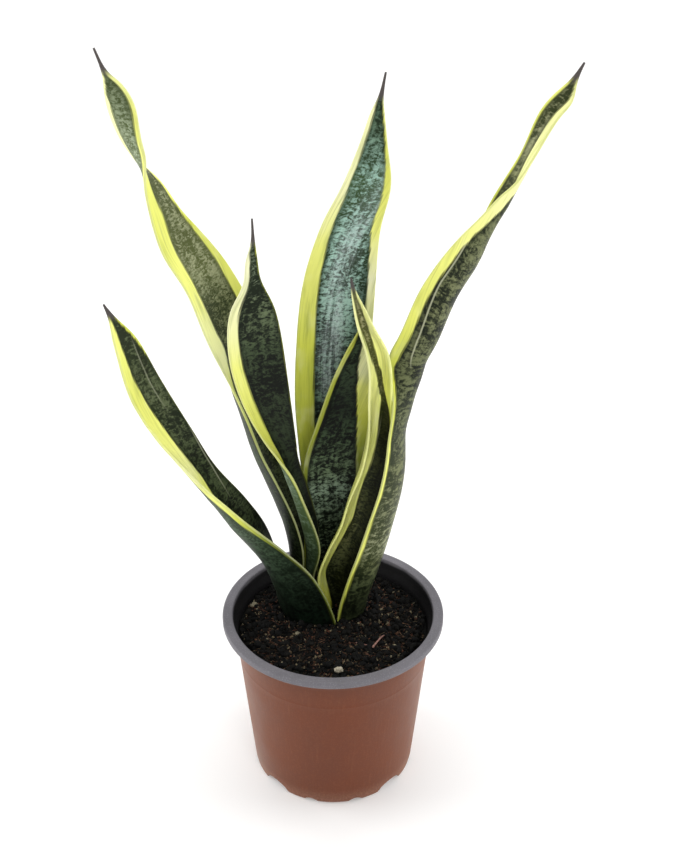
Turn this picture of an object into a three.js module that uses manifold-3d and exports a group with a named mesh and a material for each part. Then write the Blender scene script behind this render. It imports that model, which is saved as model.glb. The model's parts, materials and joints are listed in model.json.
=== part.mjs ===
// Potted snake plant: seven variegated leaves on one upright stem stub, in potting soil, in a nursery pot.
// Millimetres, +Z up. The origin is on the pot's axis, on the face the pot stands on.
// The side of the plant with the low, left-leaning leaf in front looks along -Y.

import * as THREE from 'three';
import { mergeVertices } from 'three/addons/utils/BufferGeometryUtils.js';
import Module from 'manifold-3d';

const wasm = await Module();
wasm.setup();

// ---- driving dimensions -------------------------------------------------------------------------

const fit = 0.3; // gap left between two pieces that touch

const rimRadius = 60; // a 12 cm nursery pot
const potHeight = 100;
const potWall = 1.2;
const footRadius = 45;
const neckRadius = 53.3; // outside of the wall, just under the lip
const neckHeight = 91;
const neckFlare = 1.3; // the wall steps out this much more before the lip
const lipWidth = 5.6;
const lipDrop = 3.4; // the turned-down edge of the lip
const lipEase = 0.7; // the rounding of the lip's edges
const footEase = 1.6; // the rounding where the wall meets the base
const drainRadius = 3;
const potSides = 48;

const soilCrown = 91; // height of the soil in the middle
const soilEdge = 88.5; // height of the soil against the pot
const soilShoulder = 30; // the soil falls away more steeply outside this radius
const soilSlope = 0.05; // its mean fall for each millimetre outwards

const stubCentre = [-2, 20];
const stubRadius = 19;
const stubWaist = 8.5; // radius at its lower end
const stubTop = 65.6;
const stubBottom = 44;
const stubShoulder = 58.6; // height where it is widest
const rootThickness = 3.2;
const rootOrigin = 50; // the height at which the roots leave the stub

const leafThickness = 2.4; // in the middle of the blade
const edgeThickness = 1.2; // along its edges
const fullWidth = 10; // the blade thins where it is narrower than this, towards the needle tip
const stepsAcross = 6;
const leafFoot = 66; // the height at which every leaf leaves the stem stub

// ---- leaves -------------------------------------------------------------------------------------
// Each row, from the stem upwards: the left edge (x, y, z), the right edge (x, y, z), and how far
// the middle of the blade lies behind the line between them. Left and right are as seen from the
// hollow, inner face of the leaf.

const leafRows = {
  leaf_left_tall: [
    [-11.5, 15, 66, -10, 28, 66, 3],
    [-17.5, 16, 90, -16, 33, 90, 6],
    [-16, 13, 130, -13, 33, 131, 9],
    [-23, 15, 156, -18, 37, 156, 10.5],
    [-36, 18, 185, -29, 41, 186, 9.5],
    [-48, 20, 219, -37, 44, 222, 8],
    [-60, 22, 245, -39, 46, 252, 4],
    [-72, 25, 277, -53.5, 47.5, 284, 2.5],
    [-82, 27, 296, -66.5, 47, 302, 2.5],
    [-87, 29, 314, -74.5, 45, 313, 2],
    [-89, 31, 330, -84, 49, 326, 1.5],
    [-88, 35, 341, -95, 51, 335, 1],
    [-90, 37, 351, -102, 49, 347, 1.2],
    [-92, 41, 366, -106, 45, 364, 1.2],
    [-98, 43, 376, -106.5, 44, 373, 0.8],
    [-104, 44, 380, -106.5, 44, 379, 0.3],
    [-109.3, 46, 391, -110.3, 46, 390.6, 0.1],
  ],
  leaf_left_middle: [
    [-6, 11, 66, -6, 19.5, 66, 2.5],
    [-8.5, 10.5, 90, -9, 22, 90, 5],
    [-10.5, 9.5, 113, -9, 21, 114, 4],
    [-6.5, 8.5, 134, -7.5, 20.5, 136, 7],
    [-15, 7, 165, -13, 19.5, 167, 6.5],
    [-21, 6, 182, -18, 20.5, 184, 5.5],
    [-35, 6, 203, -19, 19, 196, 3.5],
    [-47, 6, 231, -22, 16, 230, 2.5],
    [-51, 6, 258, -25, 14, 259, 2],
    [-49, 7, 275, -28, 12, 276, 1.5],
    [-42, 8, 289, -34, 11, 290, 1],
    [-41, 9, 300, -35, 10, 300, 0.6],
    [-38, 10, 309, -36, 10, 309, 0.3],
    [-37.6, 11, 321, -36.7, 11, 321, 0.1],
  ],
  leaf_centre_tall: [
    [-8, 32.5, 66, 7, 33.5, 66, 3],
    [-13.5, 35, 90, 12, 37, 90, 6],
    [-15, 36, 148, 12, 38, 148, 5],
    [-18, 36, 177, 16, 38, 177, 4],
    [-20, 38, 209, 19, 40, 210, 3],
    [-19, 40, 239, 20, 42, 240, 3],
    [-15, 42, 274, 22, 45, 274, 3],
    [-6, 45, 303, 24, 48, 301, 2.5],
    [6, 49, 326, 29, 50, 323, 2],
    [14, 52, 345, 27, 53, 342, 1.5],
    [19, 54, 360, 25, 54, 360, 1],
    [22, 55, 365, 24.5, 55, 365, 0.3],
    [25, 56, 377, 26, 56, 377, 0.1],
  ],
  leaf_centre_short: [
    [-4.5, 22, 66, 7, 24, 66, 3],
    [-7, 24, 90, 10, 26, 90, 5],
    [-16, 22, 157, 18, 24, 161, 4],
    [-15, 22, 182, 20, 25, 185, 3.5],
    [-8, 23, 204, 21, 26, 205, 3],
    [0, 24, 229, 21, 26, 229, 2],
    [8, 25, 247, 18, 26, 247, 1],
    [13, 26, 256, 16, 26, 257, 0.4],
    [14.2, 26, 264, 15.2, 26, 264, 0.1],
  ],
  leaf_right_tall: [
    [10, 23, 66, 5, 6, 66, 5],
    [14, 27, 90, 2, 1, 90, 8.5],
    [24.5, 22, 120, 8, -2, 122, 6],
    [28, 22, 136, 13, -3, 139, 6.5],
    [32, 24, 170, 22, -4, 172, 7.5],
    [34, 25, 189, 26, -4, 191, 6.3],
    [35, 25, 205, 28, -3, 209, 4.3],
    [38, 28, 219, 30, 2.5, 228, 6],
    [42, 31, 232, 29, 7, 239, 8.5],
    [46, 31, 242, 27.4, 9.6, 249, 9.5],
    [52, 32, 252, 33, 11, 261, 9],
    [60, 33, 273, 43, 14, 285, 8],
    [72, 33, 294, 58, 16, 307, 6],
    [71.6, 32.5, 309, 70.8, 18, 320, 6.4],
    [76.4, 31.5, 323, 78.2, 18, 329, 6.4],
    [81.4, 30.5, 333, 85.6, 18, 336, 3.6],
    [88, 28, 347, 93.4, 18, 349, 1.6],
    [95, 25, 368, 103.4, 20, 366, 1.2],
    [101, 22, 377, 109, 20, 373, 0.8],
    [107, 21, 383, 110, 21, 382, 0.3],
    [111.8, 20, 391, 112.7, 20, 390.6, 0.1],
  ],
  leaf_left_low: [
    [1, 6, 66, -17, 22, 66, 5],
    [2, -1, 90, -30, 25, 90, 11],
    [-9, -6, 124, -31, 26, 113, 13],
    [-24, -10, 145, -36, 20, 141, 12],
    [-43, -14, 166, -46, 12, 165, 11],
    [-63, -17, 189, -60, 8, 187, 6.5],
    [-84, -19, 218, -71, 4, 212, 4],
    [-96, -20, 243, -84, 0, 243, 3],
    [-101, -19, 270, -93, -8, 270, 1.5],
    [-103, -17, 283, -100.5, -16, 284, 0.6],
    [-105, -17, 290, -104.2, -17, 290.4, 0.1],
  ],
  leaf_front_folded: [
    [-1.5, 10, 66, 5, 11, 66, 3.5],
    [-4, 9, 90, 10, 10, 90, 8],
    [-8, 4, 117, 10, 9.5, 115, 9],
    [-3, 4, 134, 15.5, 9.5, 130, 9],
    [4, 3, 151, 20.5, 9.5, 147, 9],
    [8, 3, 167, 24, 9.5, 164, 9],
    [15, 3, 187, 28, 10, 184, 9],
    [18, 3, 206, 30, 8, 205, 9],
    [18, 3, 229, 28.5, 3.4, 229, 9],
    [18, 3, 244, 27.8, 0.6, 243, 8],
    [16, 3, 256, 27, 1, 256, 6],
    [12, 3, 269, 21, 3, 267, 4.5],
    [10, 3, 281, 15, 4, 280, 2],
    [9, 4, 288, 11, 4, 288, 0.5],
    [8.6, 4, 294, 9.5, 4, 294, 0.1],
  ],
};

// ---- solids and meshes --------------------------------------------------------------------------

function solidOf(geometry) {
  const bare = geometry.clone();
  bare.deleteAttribute('normal');
  bare.deleteAttribute('uv');
  const merged = mergeVertices(bare);
  return new wasm.Manifold(new wasm.Mesh({
    numProp: 3,
    vertProperties: new Float32Array(merged.attributes.position.array),
    triVerts: new Uint32Array(merged.index.array),
  }));
}

function geometryOf(solid) {
  const { vertProperties, triVerts } = solid.getMesh();
  const geometry = new THREE.BufferGeometry();
  geometry.setAttribute('position', new THREE.BufferAttribute(vertProperties, 3));
  geometry.setIndex(new THREE.BufferAttribute(triVerts, 1));
  geometry.computeVertexNormals();
  return geometry;
}

function named(name, geometry, color, roughness) {
  const material = new THREE.MeshStandardMaterial({ color, roughness, metalness: 0 });
  const mesh = new THREE.Mesh(geometry, material);
  mesh.name = name;
  return mesh;
}

// A profile of [radius, height] points, turned about the pot's axis.
function turned(profile, sides) {
  const points = profile.map(([radius, height]) => new THREE.Vector2(radius, height));
  return new THREE.LatheGeometry(points, sides).rotateX(Math.PI / 2);
}

// ---- leaf ---------------------------------------------------------------------------------------

// The blade's cross-section at t (0 at the stem, 1 at the tip): the middle of the line between its
// edges, the directions along, across and to the outer face, its half width and its hollow.
function crossSection(rows, t) {
  const left = new THREE.CatmullRomCurve3(rows.map((r) => new THREE.Vector3(r[0], r[1], r[2])));
  const right = new THREE.CatmullRomCurve3(rows.map((r) => new THREE.Vector3(r[3], r[4], r[5])));
  const middle = (u) => left.getPoint(u).add(right.getPoint(u)).multiplyScalar(0.5);
  const step = 0.002;
  const along = middle(Math.min(t + step, 1)).sub(middle(Math.max(t - step, 0))).normalize();
  const across = right.getPoint(t).sub(left.getPoint(t));
  const halfWidth = across.length() / 2;
  across.normalize();
  const outward = along.clone().cross(across).normalize();
  const place = t * (rows.length - 1);
  const below = Math.min(Math.floor(place), rows.length - 2);
  const hollow = THREE.MathUtils.lerp(rows[below][6], rows[below + 1][6], place - below);
  return { centre: middle(t), along, across, outward, halfWidth, hollow };
}

// One point of the blade: side runs from -1 (left edge) to 1, depth from -0.5 (inner face) to 0.5.
// The section is a parabola, so a deeply hollow blade is a rounded V.
function bladePoint(cut, side, depth, grown) {
  const edgeSlope = Math.hypot(cut.halfWidth, 2 * cut.hollow);
  const reach = side * (1 + grown / edgeSlope);
  const normal = new THREE.Vector3()
    .addScaledVector(cut.across, 2 * cut.hollow * reach)
    .addScaledVector(cut.outward, cut.halfWidth)
    .normalize();
  const thinning = Math.min(1, (cut.halfWidth + 1) / (fullWidth / 2 + 1));
  const blade = edgeThickness + (leafThickness - edgeThickness) * (1 - side * side);
  return cut.centre.clone()
    .addScaledVector(cut.across, cut.halfWidth * reach)
    .addScaledVector(cut.outward, cut.hollow * (1 - reach * reach))
    .addScaledVector(normal, depth * (blade * thinning + 2 * grown));
}

// A flat box, two steps along for each row, bent onto the rows. grown makes it larger all round.
function leafGeometry(rows, grown = 0) {
  const stepsAlong = 2 * (rows.length - 1);
  const geometry = new THREE.BoxGeometry(2, 1, 1, stepsAcross, 1, stepsAlong);
  const sections = [];
  for (let i = 0; i <= stepsAlong; i += 1) sections.push(crossSection(rows, i / stepsAlong));
  const position = geometry.attributes.position;
  for (let i = 0; i < position.count; i += 1) {
    const station = Math.round((position.getZ(i) + 0.5) * stepsAlong);
    const cut = sections[station];
    const point = bladePoint(cut, position.getX(i), position.getY(i), grown);
    if (station === 0) {
      point.addScaledVector(cut.along, (leafFoot - grown - point.z) / cut.along.z);
    }
    position.setXYZ(i, point.x, point.y, point.z);
  }
  return geometry;
}

// ---- stem stub and roots ------------------------------------------------------------------------

// The roots leave the stub below its waist and run out and down, as [bearing, reach, end height].
const roots = [
  [10, 36, 16], [62, 30, 12], [118, 30, 18], [165, 38, 14], [214, 34, 10], [262, 36, 20], [318, 38, 12],
];

function stubSolid(grown = 0) {
  const body = turned([
    [0, stubBottom - grown],
    [stubWaist, stubBottom - grown],
    [(stubWaist + 3 * stubRadius) / 4 + grown, rootOrigin],
    [stubRadius + grown, stubShoulder],
    [stubRadius - 2 + grown, stubTop + grown],
    [0, stubTop + grown],
  ], 20).translate(stubCentre[0], stubCentre[1], 0);
  let solid = solidOf(body);
  for (const [bearing, reach, end] of roots) {
    solid = solid.add(rootSolid(THREE.MathUtils.degToRad(bearing), reach, end, grown));
  }
  return solid;
}

function rootSolid(bearing, reach, end, grown) {
  // A point this share of the way from the stub's centre to where the root ends.
  const out = (share, height) => new THREE.Vector3(
    THREE.MathUtils.lerp(stubCentre[0], Math.cos(bearing) * reach, share),
    THREE.MathUtils.lerp(stubCentre[1], Math.sin(bearing) * reach, share),
    height,
  );
  const path = new THREE.CatmullRomCurve3([
    out(0.15, rootOrigin), out(0.6, stubBottom - 4), out(0.95, end + 12), out(1, end - grown),
  ]);
  const section = new THREE.Shape();
  section.absellipse(0, 0, rootThickness / 2 + grown, rootThickness / 2 + grown, 0, 2 * Math.PI);
  return solidOf(new THREE.ExtrudeGeometry(section, {
    steps: 5, curveSegments: 3, bevelEnabled: false, extrudePath: path,
  }));
}

// ---- pot ----------------------------------------------------------------------------------------

// The foot is pressed in at twelve bays, so that it drains: four wide ones with a hole in the roof,
// and eight narrow ones. Bearings are degrees from -Y.
const wideBay = { width: 17, height: 5.5, inner: 33, drains: true };
const narrowBay = { width: 7.5, height: 2.6, inner: 39, drains: false };
const bays = [];
for (let quarter = 0; quarter < 360; quarter += 90) {
  bays.push({ ...narrowBay, bearing: quarter + 16 }, { ...wideBay, bearing: quarter + 45 });
  bays.push({ ...narrowBay, bearing: quarter + 74 });
}

function baySolid(bay, grown) {
  const half = bay.width / 2 + grown;
  const below = -2; // the bay's shape runs on past the base, so that it cuts right through
  const beyond = footRadius + 6;
  const arch = new THREE.Shape();
  arch.moveTo(half, below);
  arch.lineTo(half, 0);
  arch.absellipse(0, 0, half, bay.height + grown, 0, Math.PI);
  arch.lineTo(-half, below);
  arch.closePath();
  const length = beyond - bay.inner + grown;
  const bar = new THREE.ExtrudeGeometry(arch, { depth: length, curveSegments: 5, bevelEnabled: false });
  bar.rotateX(Math.PI / 2).translate(0, -(bay.inner - grown), 0);
  return solidOf(bar.rotateZ(THREE.MathUtils.degToRad(bay.bearing)));
}

function drainHole(bay) {
  const length = 2 * bay.height;
  const hole = new THREE.CylinderGeometry(drainRadius, drainRadius, length, 12).rotateX(Math.PI / 2);
  hole.translate(0, -(bay.inner + 2 * drainRadius), bay.height);
  return solidOf(hole.rotateZ(THREE.MathUtils.degToRad(bay.bearing)));
}

function potSolid() {
  const lipInner = rimRadius - lipWidth;
  const outside = [
    [0, 0], [footRadius - footEase, 0], [footRadius - footEase / 4, footEase / 3],
    [footRadius, footEase], [neckRadius, neckHeight],
  ];
  const lip = [
    [neckRadius + neckFlare, neckHeight + 3],
    [lipInner + potWall, potHeight - potWall],
    [rimRadius - potWall, potHeight - potWall],
    [rimRadius - potWall, potHeight - lipDrop],
    [rimRadius, potHeight - lipDrop],
    [rimRadius, potHeight - lipEase],
    [rimRadius - lipEase, potHeight],
    [lipInner + lipEase, potHeight],
    [lipInner, potHeight - lipEase],
    [neckRadius + neckFlare - potWall, neckHeight + 3.3],
  ];
  const inside = [
    [neckRadius - potWall, neckHeight], [footRadius - potWall, footEase + 0.6],
    [footRadius - 1.6 * potWall, potWall], [0, potWall],
  ];
  const filled = solidOf(turned([...outside, [0, neckHeight]], potSides));
  let pot = solidOf(turned([...outside, ...lip, ...inside], potSides));
  for (const bay of bays) pot = pot.add(baySolid(bay, potWall).intersect(filled));
  for (const bay of bays) pot = pot.subtract(baySolid(bay, 0));
  for (const bay of bays.filter((one) => one.drains)) pot = pot.subtract(drainHole(bay));
  return pot;
}

// ---- soil and what lies on it -------------------------------------------------------------------

function soilSolid() {
  const base = potWall + fit;
  const slope = (neckRadius - footRadius) / (neckHeight - footEase);
  const wallRadius = (height) => footRadius + slope * (height - footEase) - potWall - fit;
  let soil = solidOf(turned([
    [0, base],
    [wallRadius(base) - 1, base],
    [wallRadius(2 * base), 2 * base],
    [wallRadius(soilEdge), soilEdge],
    [soilShoulder, soilCrown - soilSlope * soilShoulder / 2],
    [0, soilCrown],
  ], potSides));
  for (const bay of bays) soil = soil.subtract(baySolid(bay, potWall + fit));
  soil = soil.subtract(stubSolid(1.5 * fit));
  for (const rows of Object.values(leafRows)) {
    soil = soil.subtract(solidOf(leafGeometry(rows.slice(0, 4), 1.3 * fit)));
  }
  const pieces = soil.decompose().sort((a, b) => b.volume() - a.volume());
  return pieces[0];
}

// Loose pieces on the soil: place, size, and turn about the vertical.
const crumbs = {
  pale_grain_front: { at: [3, -40], size: [5, 4, 3.4], turn: 20 },
  pale_chip_left: { at: [-44.5, 17], size: [5, 3.4, 2], turn: 35 },
  pale_chip_middle: { at: [-19, -10], size: [3.4, 2.4, 2], turn: -30 },
};
const twigs = {
  twig_right_long: { at: [24.3, -16], length: 12.5, width: 1.1, turn: 53 },
  twig_right_short: { at: [15.5, -18.5], length: 8, width: 0.9, turn: -20 },
};

// The height of the soil under a piece, taken at the end of the piece nearest the middle.
function restingHeight([x, y], reach) {
  const nearest = Math.max(0, Math.hypot(x, y) - reach);
  return soilCrown - soilSlope * nearest / 2 + fit;
}

function crumbMesh(name, { at, size, turn }) {
  const grain = new THREE.IcosahedronGeometry(0.5, 1);
  grain.scale(size[0], size[1], size[2]);
  grain.rotateZ(THREE.MathUtils.degToRad(turn));
  const mesh = named(name, grain, 0xb3a68c, 0.95);
  mesh.position.set(at[0], at[1], restingHeight(at, size[0] / 2) + size[2] / 2);
  return mesh;
}

function twigMesh(name, { at, length, width, turn }) {
  const rod = new THREE.CylinderGeometry(width * 0.35, width / 2, length, 7).rotateZ(Math.PI / 2);
  rod.rotateZ(THREE.MathUtils.degToRad(turn));
  const mesh = named(name, rod, 0x8a6258, 0.9);
  mesh.position.set(at[0], at[1], restingHeight(at, length / 2) + width / 2);
  return mesh;
}

// ---- the whole plant ----------------------------------------------------------------------------

const plant = new THREE.Group();
plant.name = 'potted_snake_plant';

const pot = new THREE.Group();
pot.add(named('nursery_pot', geometryOf(potSolid()), 0x7a4a38, 0.5));
pot.add(named('potting_soil', geometryOf(soilSolid()), 0x2a211b, 0.98));
for (const [name, crumb] of Object.entries(crumbs)) pot.add(crumbMesh(name, crumb));
for (const [name, twig] of Object.entries(twigs)) pot.add(twigMesh(name, twig));
plant.add(pot);

const rosette = new THREE.Group();
rosette.add(named('stem_stub_with_roots', geometryOf(stubSolid()), 0xb58a55, 0.8));
for (const [name, rows] of Object.entries(leafRows)) {
  rosette.add(named(name, leafGeometry(rows), 0x3a5a48, 0.45));
}
plant.add(rosette);

export default plant;
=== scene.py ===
# %% [markdown]
# # A young snake plant in a nursery pot
# The plant is seven stiff, sword-shaped leaves in a thin plastic pot of dark peat. Each leaf is one
# grown blade: hollow along its length like a gutter, dark green with pale cross-bands, yellow along
# both edges, and ending in a dry needle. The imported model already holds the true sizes, so it is
# loaded first and every finished piece here takes the place of one of its parts.

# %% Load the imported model
import json
import math
import random

import bmesh
import bpy
from mathutils import Matrix, Vector, noise

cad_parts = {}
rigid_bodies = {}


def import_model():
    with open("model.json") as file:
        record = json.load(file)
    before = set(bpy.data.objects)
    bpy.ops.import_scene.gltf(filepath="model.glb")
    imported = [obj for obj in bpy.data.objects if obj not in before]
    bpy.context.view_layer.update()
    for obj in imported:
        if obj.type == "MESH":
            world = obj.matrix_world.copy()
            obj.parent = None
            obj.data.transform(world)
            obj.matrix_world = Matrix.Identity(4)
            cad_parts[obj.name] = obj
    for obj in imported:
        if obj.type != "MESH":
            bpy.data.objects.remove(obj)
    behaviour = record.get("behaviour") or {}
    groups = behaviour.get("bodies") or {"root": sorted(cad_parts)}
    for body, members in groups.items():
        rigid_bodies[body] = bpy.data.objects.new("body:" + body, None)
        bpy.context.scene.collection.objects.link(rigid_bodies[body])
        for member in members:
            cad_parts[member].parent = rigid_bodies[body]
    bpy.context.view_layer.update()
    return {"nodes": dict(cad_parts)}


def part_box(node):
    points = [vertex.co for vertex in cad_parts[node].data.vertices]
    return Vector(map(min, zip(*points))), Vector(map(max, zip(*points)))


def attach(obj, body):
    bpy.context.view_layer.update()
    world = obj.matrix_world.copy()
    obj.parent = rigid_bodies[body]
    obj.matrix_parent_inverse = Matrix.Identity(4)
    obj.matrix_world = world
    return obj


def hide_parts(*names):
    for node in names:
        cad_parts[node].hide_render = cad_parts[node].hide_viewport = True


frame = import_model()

MM = 0.001
print("parts in the frame:", sorted(frame["nodes"]))

# %% [markdown]
# ## The camera
# The picture looks down on the pot by about thirty degrees from two thirds of a metre away. A lens
# is fixed by the ratio of focal length to picture height, so the 54 mm lens below gives the same
# view at any size of this upright picture.

# %% Camera
PICTURE_HEIGHT_PX, FOCAL_PX, SENSOR_MM = 850, 1280, 36.0
CAMERA_PLACE, CAMERA_TILT = (0.0038, -0.5512, 0.5382), 59.72
camera_data = bpy.data.cameras.new("camera")
camera_data.lens = SENSOR_MM * FOCAL_PX / PICTURE_HEIGHT_PX
camera_data.sensor_width = SENSOR_MM
camera = bpy.data.objects.new("camera", camera_data)
camera.location = CAMERA_PLACE
camera.rotation_euler = (math.radians(CAMERA_TILT), 0, 0)
scene = bpy.context.scene
scene.collection.objects.link(camera)
scene.camera = camera
print("lens", round(camera_data.lens, 1), "mm")

# %% [markdown]
# ## Studio light
# The plant stands on white in even light. Two big soft boxes stand at the sides, a little behind
# the pot, because its sides are brighter than its front, and a third hangs overhead. Big boxes give
# the waxy leaves broad, pale reflections and leave hardly any shadow on the ground. A weaker one
# fills in from the front, and a long one far behind washes the floor white.

# %% Lights
scene.view_settings.view_transform = "Standard"


def soft_box(name, place, aim, width, height, watts):
    """Adds a rectangular light at place that shines on the point aim."""
    data = bpy.data.lights.new(name, "AREA")
    data.shape, data.size, data.size_y, data.energy = "RECTANGLE", width, height, watts
    light = bpy.data.objects.new(name, data)
    light.location = place
    light.rotation_euler = (Vector(aim) - Vector(place)).to_track_quat("-Z", "Y").to_euler()
    scene.collection.objects.link(light)


soft_box("left_box", (-1.25, 0.15, 0.55), (0, 0, 0.12), 0.9, 1.1, 11.5)
soft_box("right_box", (1.25, 0.2, 0.55), (0, 0, 0.12), 0.9, 1.1, 9)
soft_box("top_box", (0, 0.35, 1.5), (0, 0, 0.2), 1.4, 1.0, 8)
soft_box("front_fill", (0.4, -1.5, 1.1), (0, 0, 0.15), 1.2, 0.9, 11)
soft_box("floor_wash", (0, 2.3, 1.3), (0, 2.2, 0), 4.0, 1.2, 26)

world = bpy.data.worlds.new("pale_room")
scene.world = world
world.use_nodes = True
world.node_tree.nodes["Background"].inputs["Color"].default_value = (1.0, 1.0, 1.0, 1)
world.node_tree.nodes["Background"].inputs["Strength"].default_value = 0.40

# %% [markdown]
# ## A small bench for mixing paint
# Every finish below is painted with nodes. Colours are written as ordinary 0-255 screen values and
# turned into linear light, since a shader multiplies light and a screen value doesn't. A few short
# helpers add the nodes: one to place a node, one for a ramp, one to mix, one for fine grain.

# %% Paint and nodes
def paint(r, g, b):
    """A 0-255 screen colour as linear light with full opacity."""
    def linear(c):
        c /= 255
        return c / 12.92 if c <= 0.04045 else ((c + 0.055) / 1.055) ** 2.4
    return (linear(r), linear(g), linear(b), 1.0)


def feed(tree, node, values):
    """Gives each named input of a node a value or a link."""
    for key, value in values.items():
        if isinstance(value, bpy.types.NodeSocket):
            tree.links.new(value, node.inputs[key])
        else:
            node.inputs[key].default_value = value


def add(tree, kind, values=None, **settings):
    """Adds one node, sets its properties and feeds its inputs."""
    node = tree.nodes.new(kind)
    for key, value in settings.items():
        setattr(node, key, value)
    feed(tree, node, values or {})
    return node


def new_finish(name):
    """An empty finish: its tree, and the shader that the surface uses."""
    finish = bpy.data.materials.new(name)
    finish.use_nodes = True
    return finish, finish.node_tree, finish.node_tree.nodes["Principled BSDF"]


print("middle grey in linear light:", round(paint(128, 128, 128)[0], 3))


# %% Ramps, mixes and arithmetic
def ramp(tree, value, stops):
    """A colour ramp over 0..1, from (place, colour) stops."""
    node = add(tree, "ShaderNodeValToRGB", {"Fac": value})
    elements = node.color_ramp.elements
    while len(elements) < len(stops):
        elements.new(0.5)
    for element, (place, colour) in zip(elements, stops):
        element.position = place
        element.color = paint(*colour)
    return node.outputs["Color"]


def mix(tree, amount, first, second, blend="MIX"):
    """Mixes two colours by amount, from a socket or a fixed number."""
    return add(tree, "ShaderNodeMix", {0: amount, 6: first, 7: second}, data_type="RGBA",
               blend_type=blend).outputs[2]


def sums(tree, operation, *values):
    """One arithmetic step on numbers or sockets."""
    return add(tree, "ShaderNodeMath", dict(enumerate(values)), operation=operation).outputs[0]


def plus(tree, first, *others):
    """Adds up numbers or sockets."""
    for other in others:
        first = sums(tree, "ADD", first, other)
    return first


def times(tree, first, *others):
    """Multiplies numbers or sockets."""
    for other in others:
        first = sums(tree, "MULTIPLY", first, other)
    return first


def between(tree, value, low, high, to_low=0.0, to_high=1.0):
    """Rises smoothly from to_low to to_high as value goes from low to high."""
    return add(tree, "ShaderNodeMapRange", {"Value": value, "From Min": low, "From Max": high,
               "To Min": to_low, "To Max": to_high}, interpolation_type="SMOOTHSTEP").outputs[0]


# %% Places, grain and relief
def object_place(tree):
    """The surface point in metres, in the piece's own frame."""
    return add(tree, "ShaderNodeTexCoord").outputs["Object"]


def height_of(tree):
    """The height of the surface point in metres."""
    return add(tree, "ShaderNodeSeparateXYZ", {0: object_place(tree)}).outputs["Z"]


def read(tree, key):
    """A number that the points of the mesh carry."""
    return add(tree, "ShaderNodeAttribute", attribute_name=key).outputs["Fac"]


def grain(tree, place, sizes, detail=3.0, rough=0.55, twist=0.0):
    """Noise from 0 to 1. Its grains measure sizes along the axes, in the units of place, and one
    number is a round grain."""
    sizes = (sizes,) * 3 if isinstance(sizes, float) else sizes
    scaled = add(tree, "ShaderNodeMapping", {"Vector": place, "Scale": tuple(1 / s for s in sizes)})
    return add(tree, "ShaderNodeTexNoise", {"Vector": scaled.outputs[0], "Scale": 1.0,
               "Detail": detail, "Roughness": rough, "Distortion": twist}).outputs["Fac"]


def relief(tree, shader, height, depth, strength=1.0):
    """Lets height (0 to 1) raise the surface by up to depth metres."""
    bump = add(tree, "ShaderNodeBump", {"Height": height, "Distance": depth, "Strength": strength})
    feed(tree, shader, {"Normal": bump.outputs["Normal"]})


# %% [markdown]
# ## From a bmesh to a piece
# Shapes are made in a bmesh, which Blender's mesh operators work on. It is written to a mesh, the
# mesh gets an object at the origin, and a finished piece rides on the frame's root and hides the
# parts of the frame that it stands for.

# %% Mesh, object and piece
def as_mesh(bm, name):
    """Writes a bmesh to a new mesh and frees it."""
    mesh = bpy.data.meshes.new(name)
    bm.to_mesh(mesh)
    bm.free()
    return mesh


def as_object(bm, name, finishes=()):
    """Turns a bmesh into an object of the scene with the given finishes."""
    made = bpy.data.objects.new(name, as_mesh(bm, name))
    for finish in finishes:
        made.data.materials.append(finish)
    scene.collection.objects.link(made)
    return made


def finished(bm, name, finishes, slot, *nodes):
    """Turns a bmesh into a smooth-shaded piece that stands for the named parts of the frame."""
    piece = as_object(bm, name, finishes)
    piece.data.shade_smooth()
    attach(piece, "root")
    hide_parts(*nodes)
    size = tuple(round(d / MM, 1) for d in piece.dimensions)
    print(f"{name}: {len(piece.data.polygons)} faces, {size} mm")
    return piece


# %% [markdown]
# ## Floor
# A studio floor is painted board. It is nearly white, with a very faint cloudiness, and big enough
# to fill the picture from the camera's height. A lit white sweep hides most of the shadow on it, so
# the board glows very faintly.

# %% Floor
FLOOR_HALF, FLOOR_GLOW = 4.0, 0.12
floor_finish, tree, shader = new_finish("white_board")
cloud = grain(tree, object_place(tree), 0.5, detail=2.0)
feed(tree, shader, {
    "Base Color": ramp(tree, cloud, [(0.3, (244, 244, 243)), (0.7, (248, 248, 247))]),
    "Roughness": 0.85, "Specular IOR Level": 0.2,
    "Emission Color": (1, 1, 1, 1), "Emission Strength": FLOOR_GLOW})
bm = bmesh.new()
bmesh.ops.create_grid(bm, x_segments=2, y_segments=2, size=FLOOR_HALF)
floor = as_object(bm, "floor", [floor_finish])
print("floor:", tuple(round(d, 1) for d in floor.dimensions), "m")

# %% [markdown]
# ## The pot
# A nursery pot is drawn from one hot sheet that is brown outside and grey inside, so the lip, which
# is turned down, shows the grey side. It is round, so one wall profile is spun about the axis. The
# profile runs up the outside, past a faint moulding line and a step, over the rolled lip and down
# the inside.

# %% Pot profile
POT_STEPS = 320
WALL, WALL_SLOPE = 1.2, 0.0928
LIP_EDGE = (60.0, 97.0)


def evenly(first, last, count):
    """Points from first to last, without the last one."""
    return [tuple(a + (b - a) * i / count for a, b in zip(first, last)) for i in range(count)]


def rounded(centre, radius, start, end, count):
    """Points on an arc of the profile, angles in degrees from the outward direction."""
    turn = [math.radians(start + (end - start) * i / (count - 1)) for i in range(count)]
    return [(centre[0] + radius * math.cos(a), centre[1] + radius * math.sin(a)) for a in turn]


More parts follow.
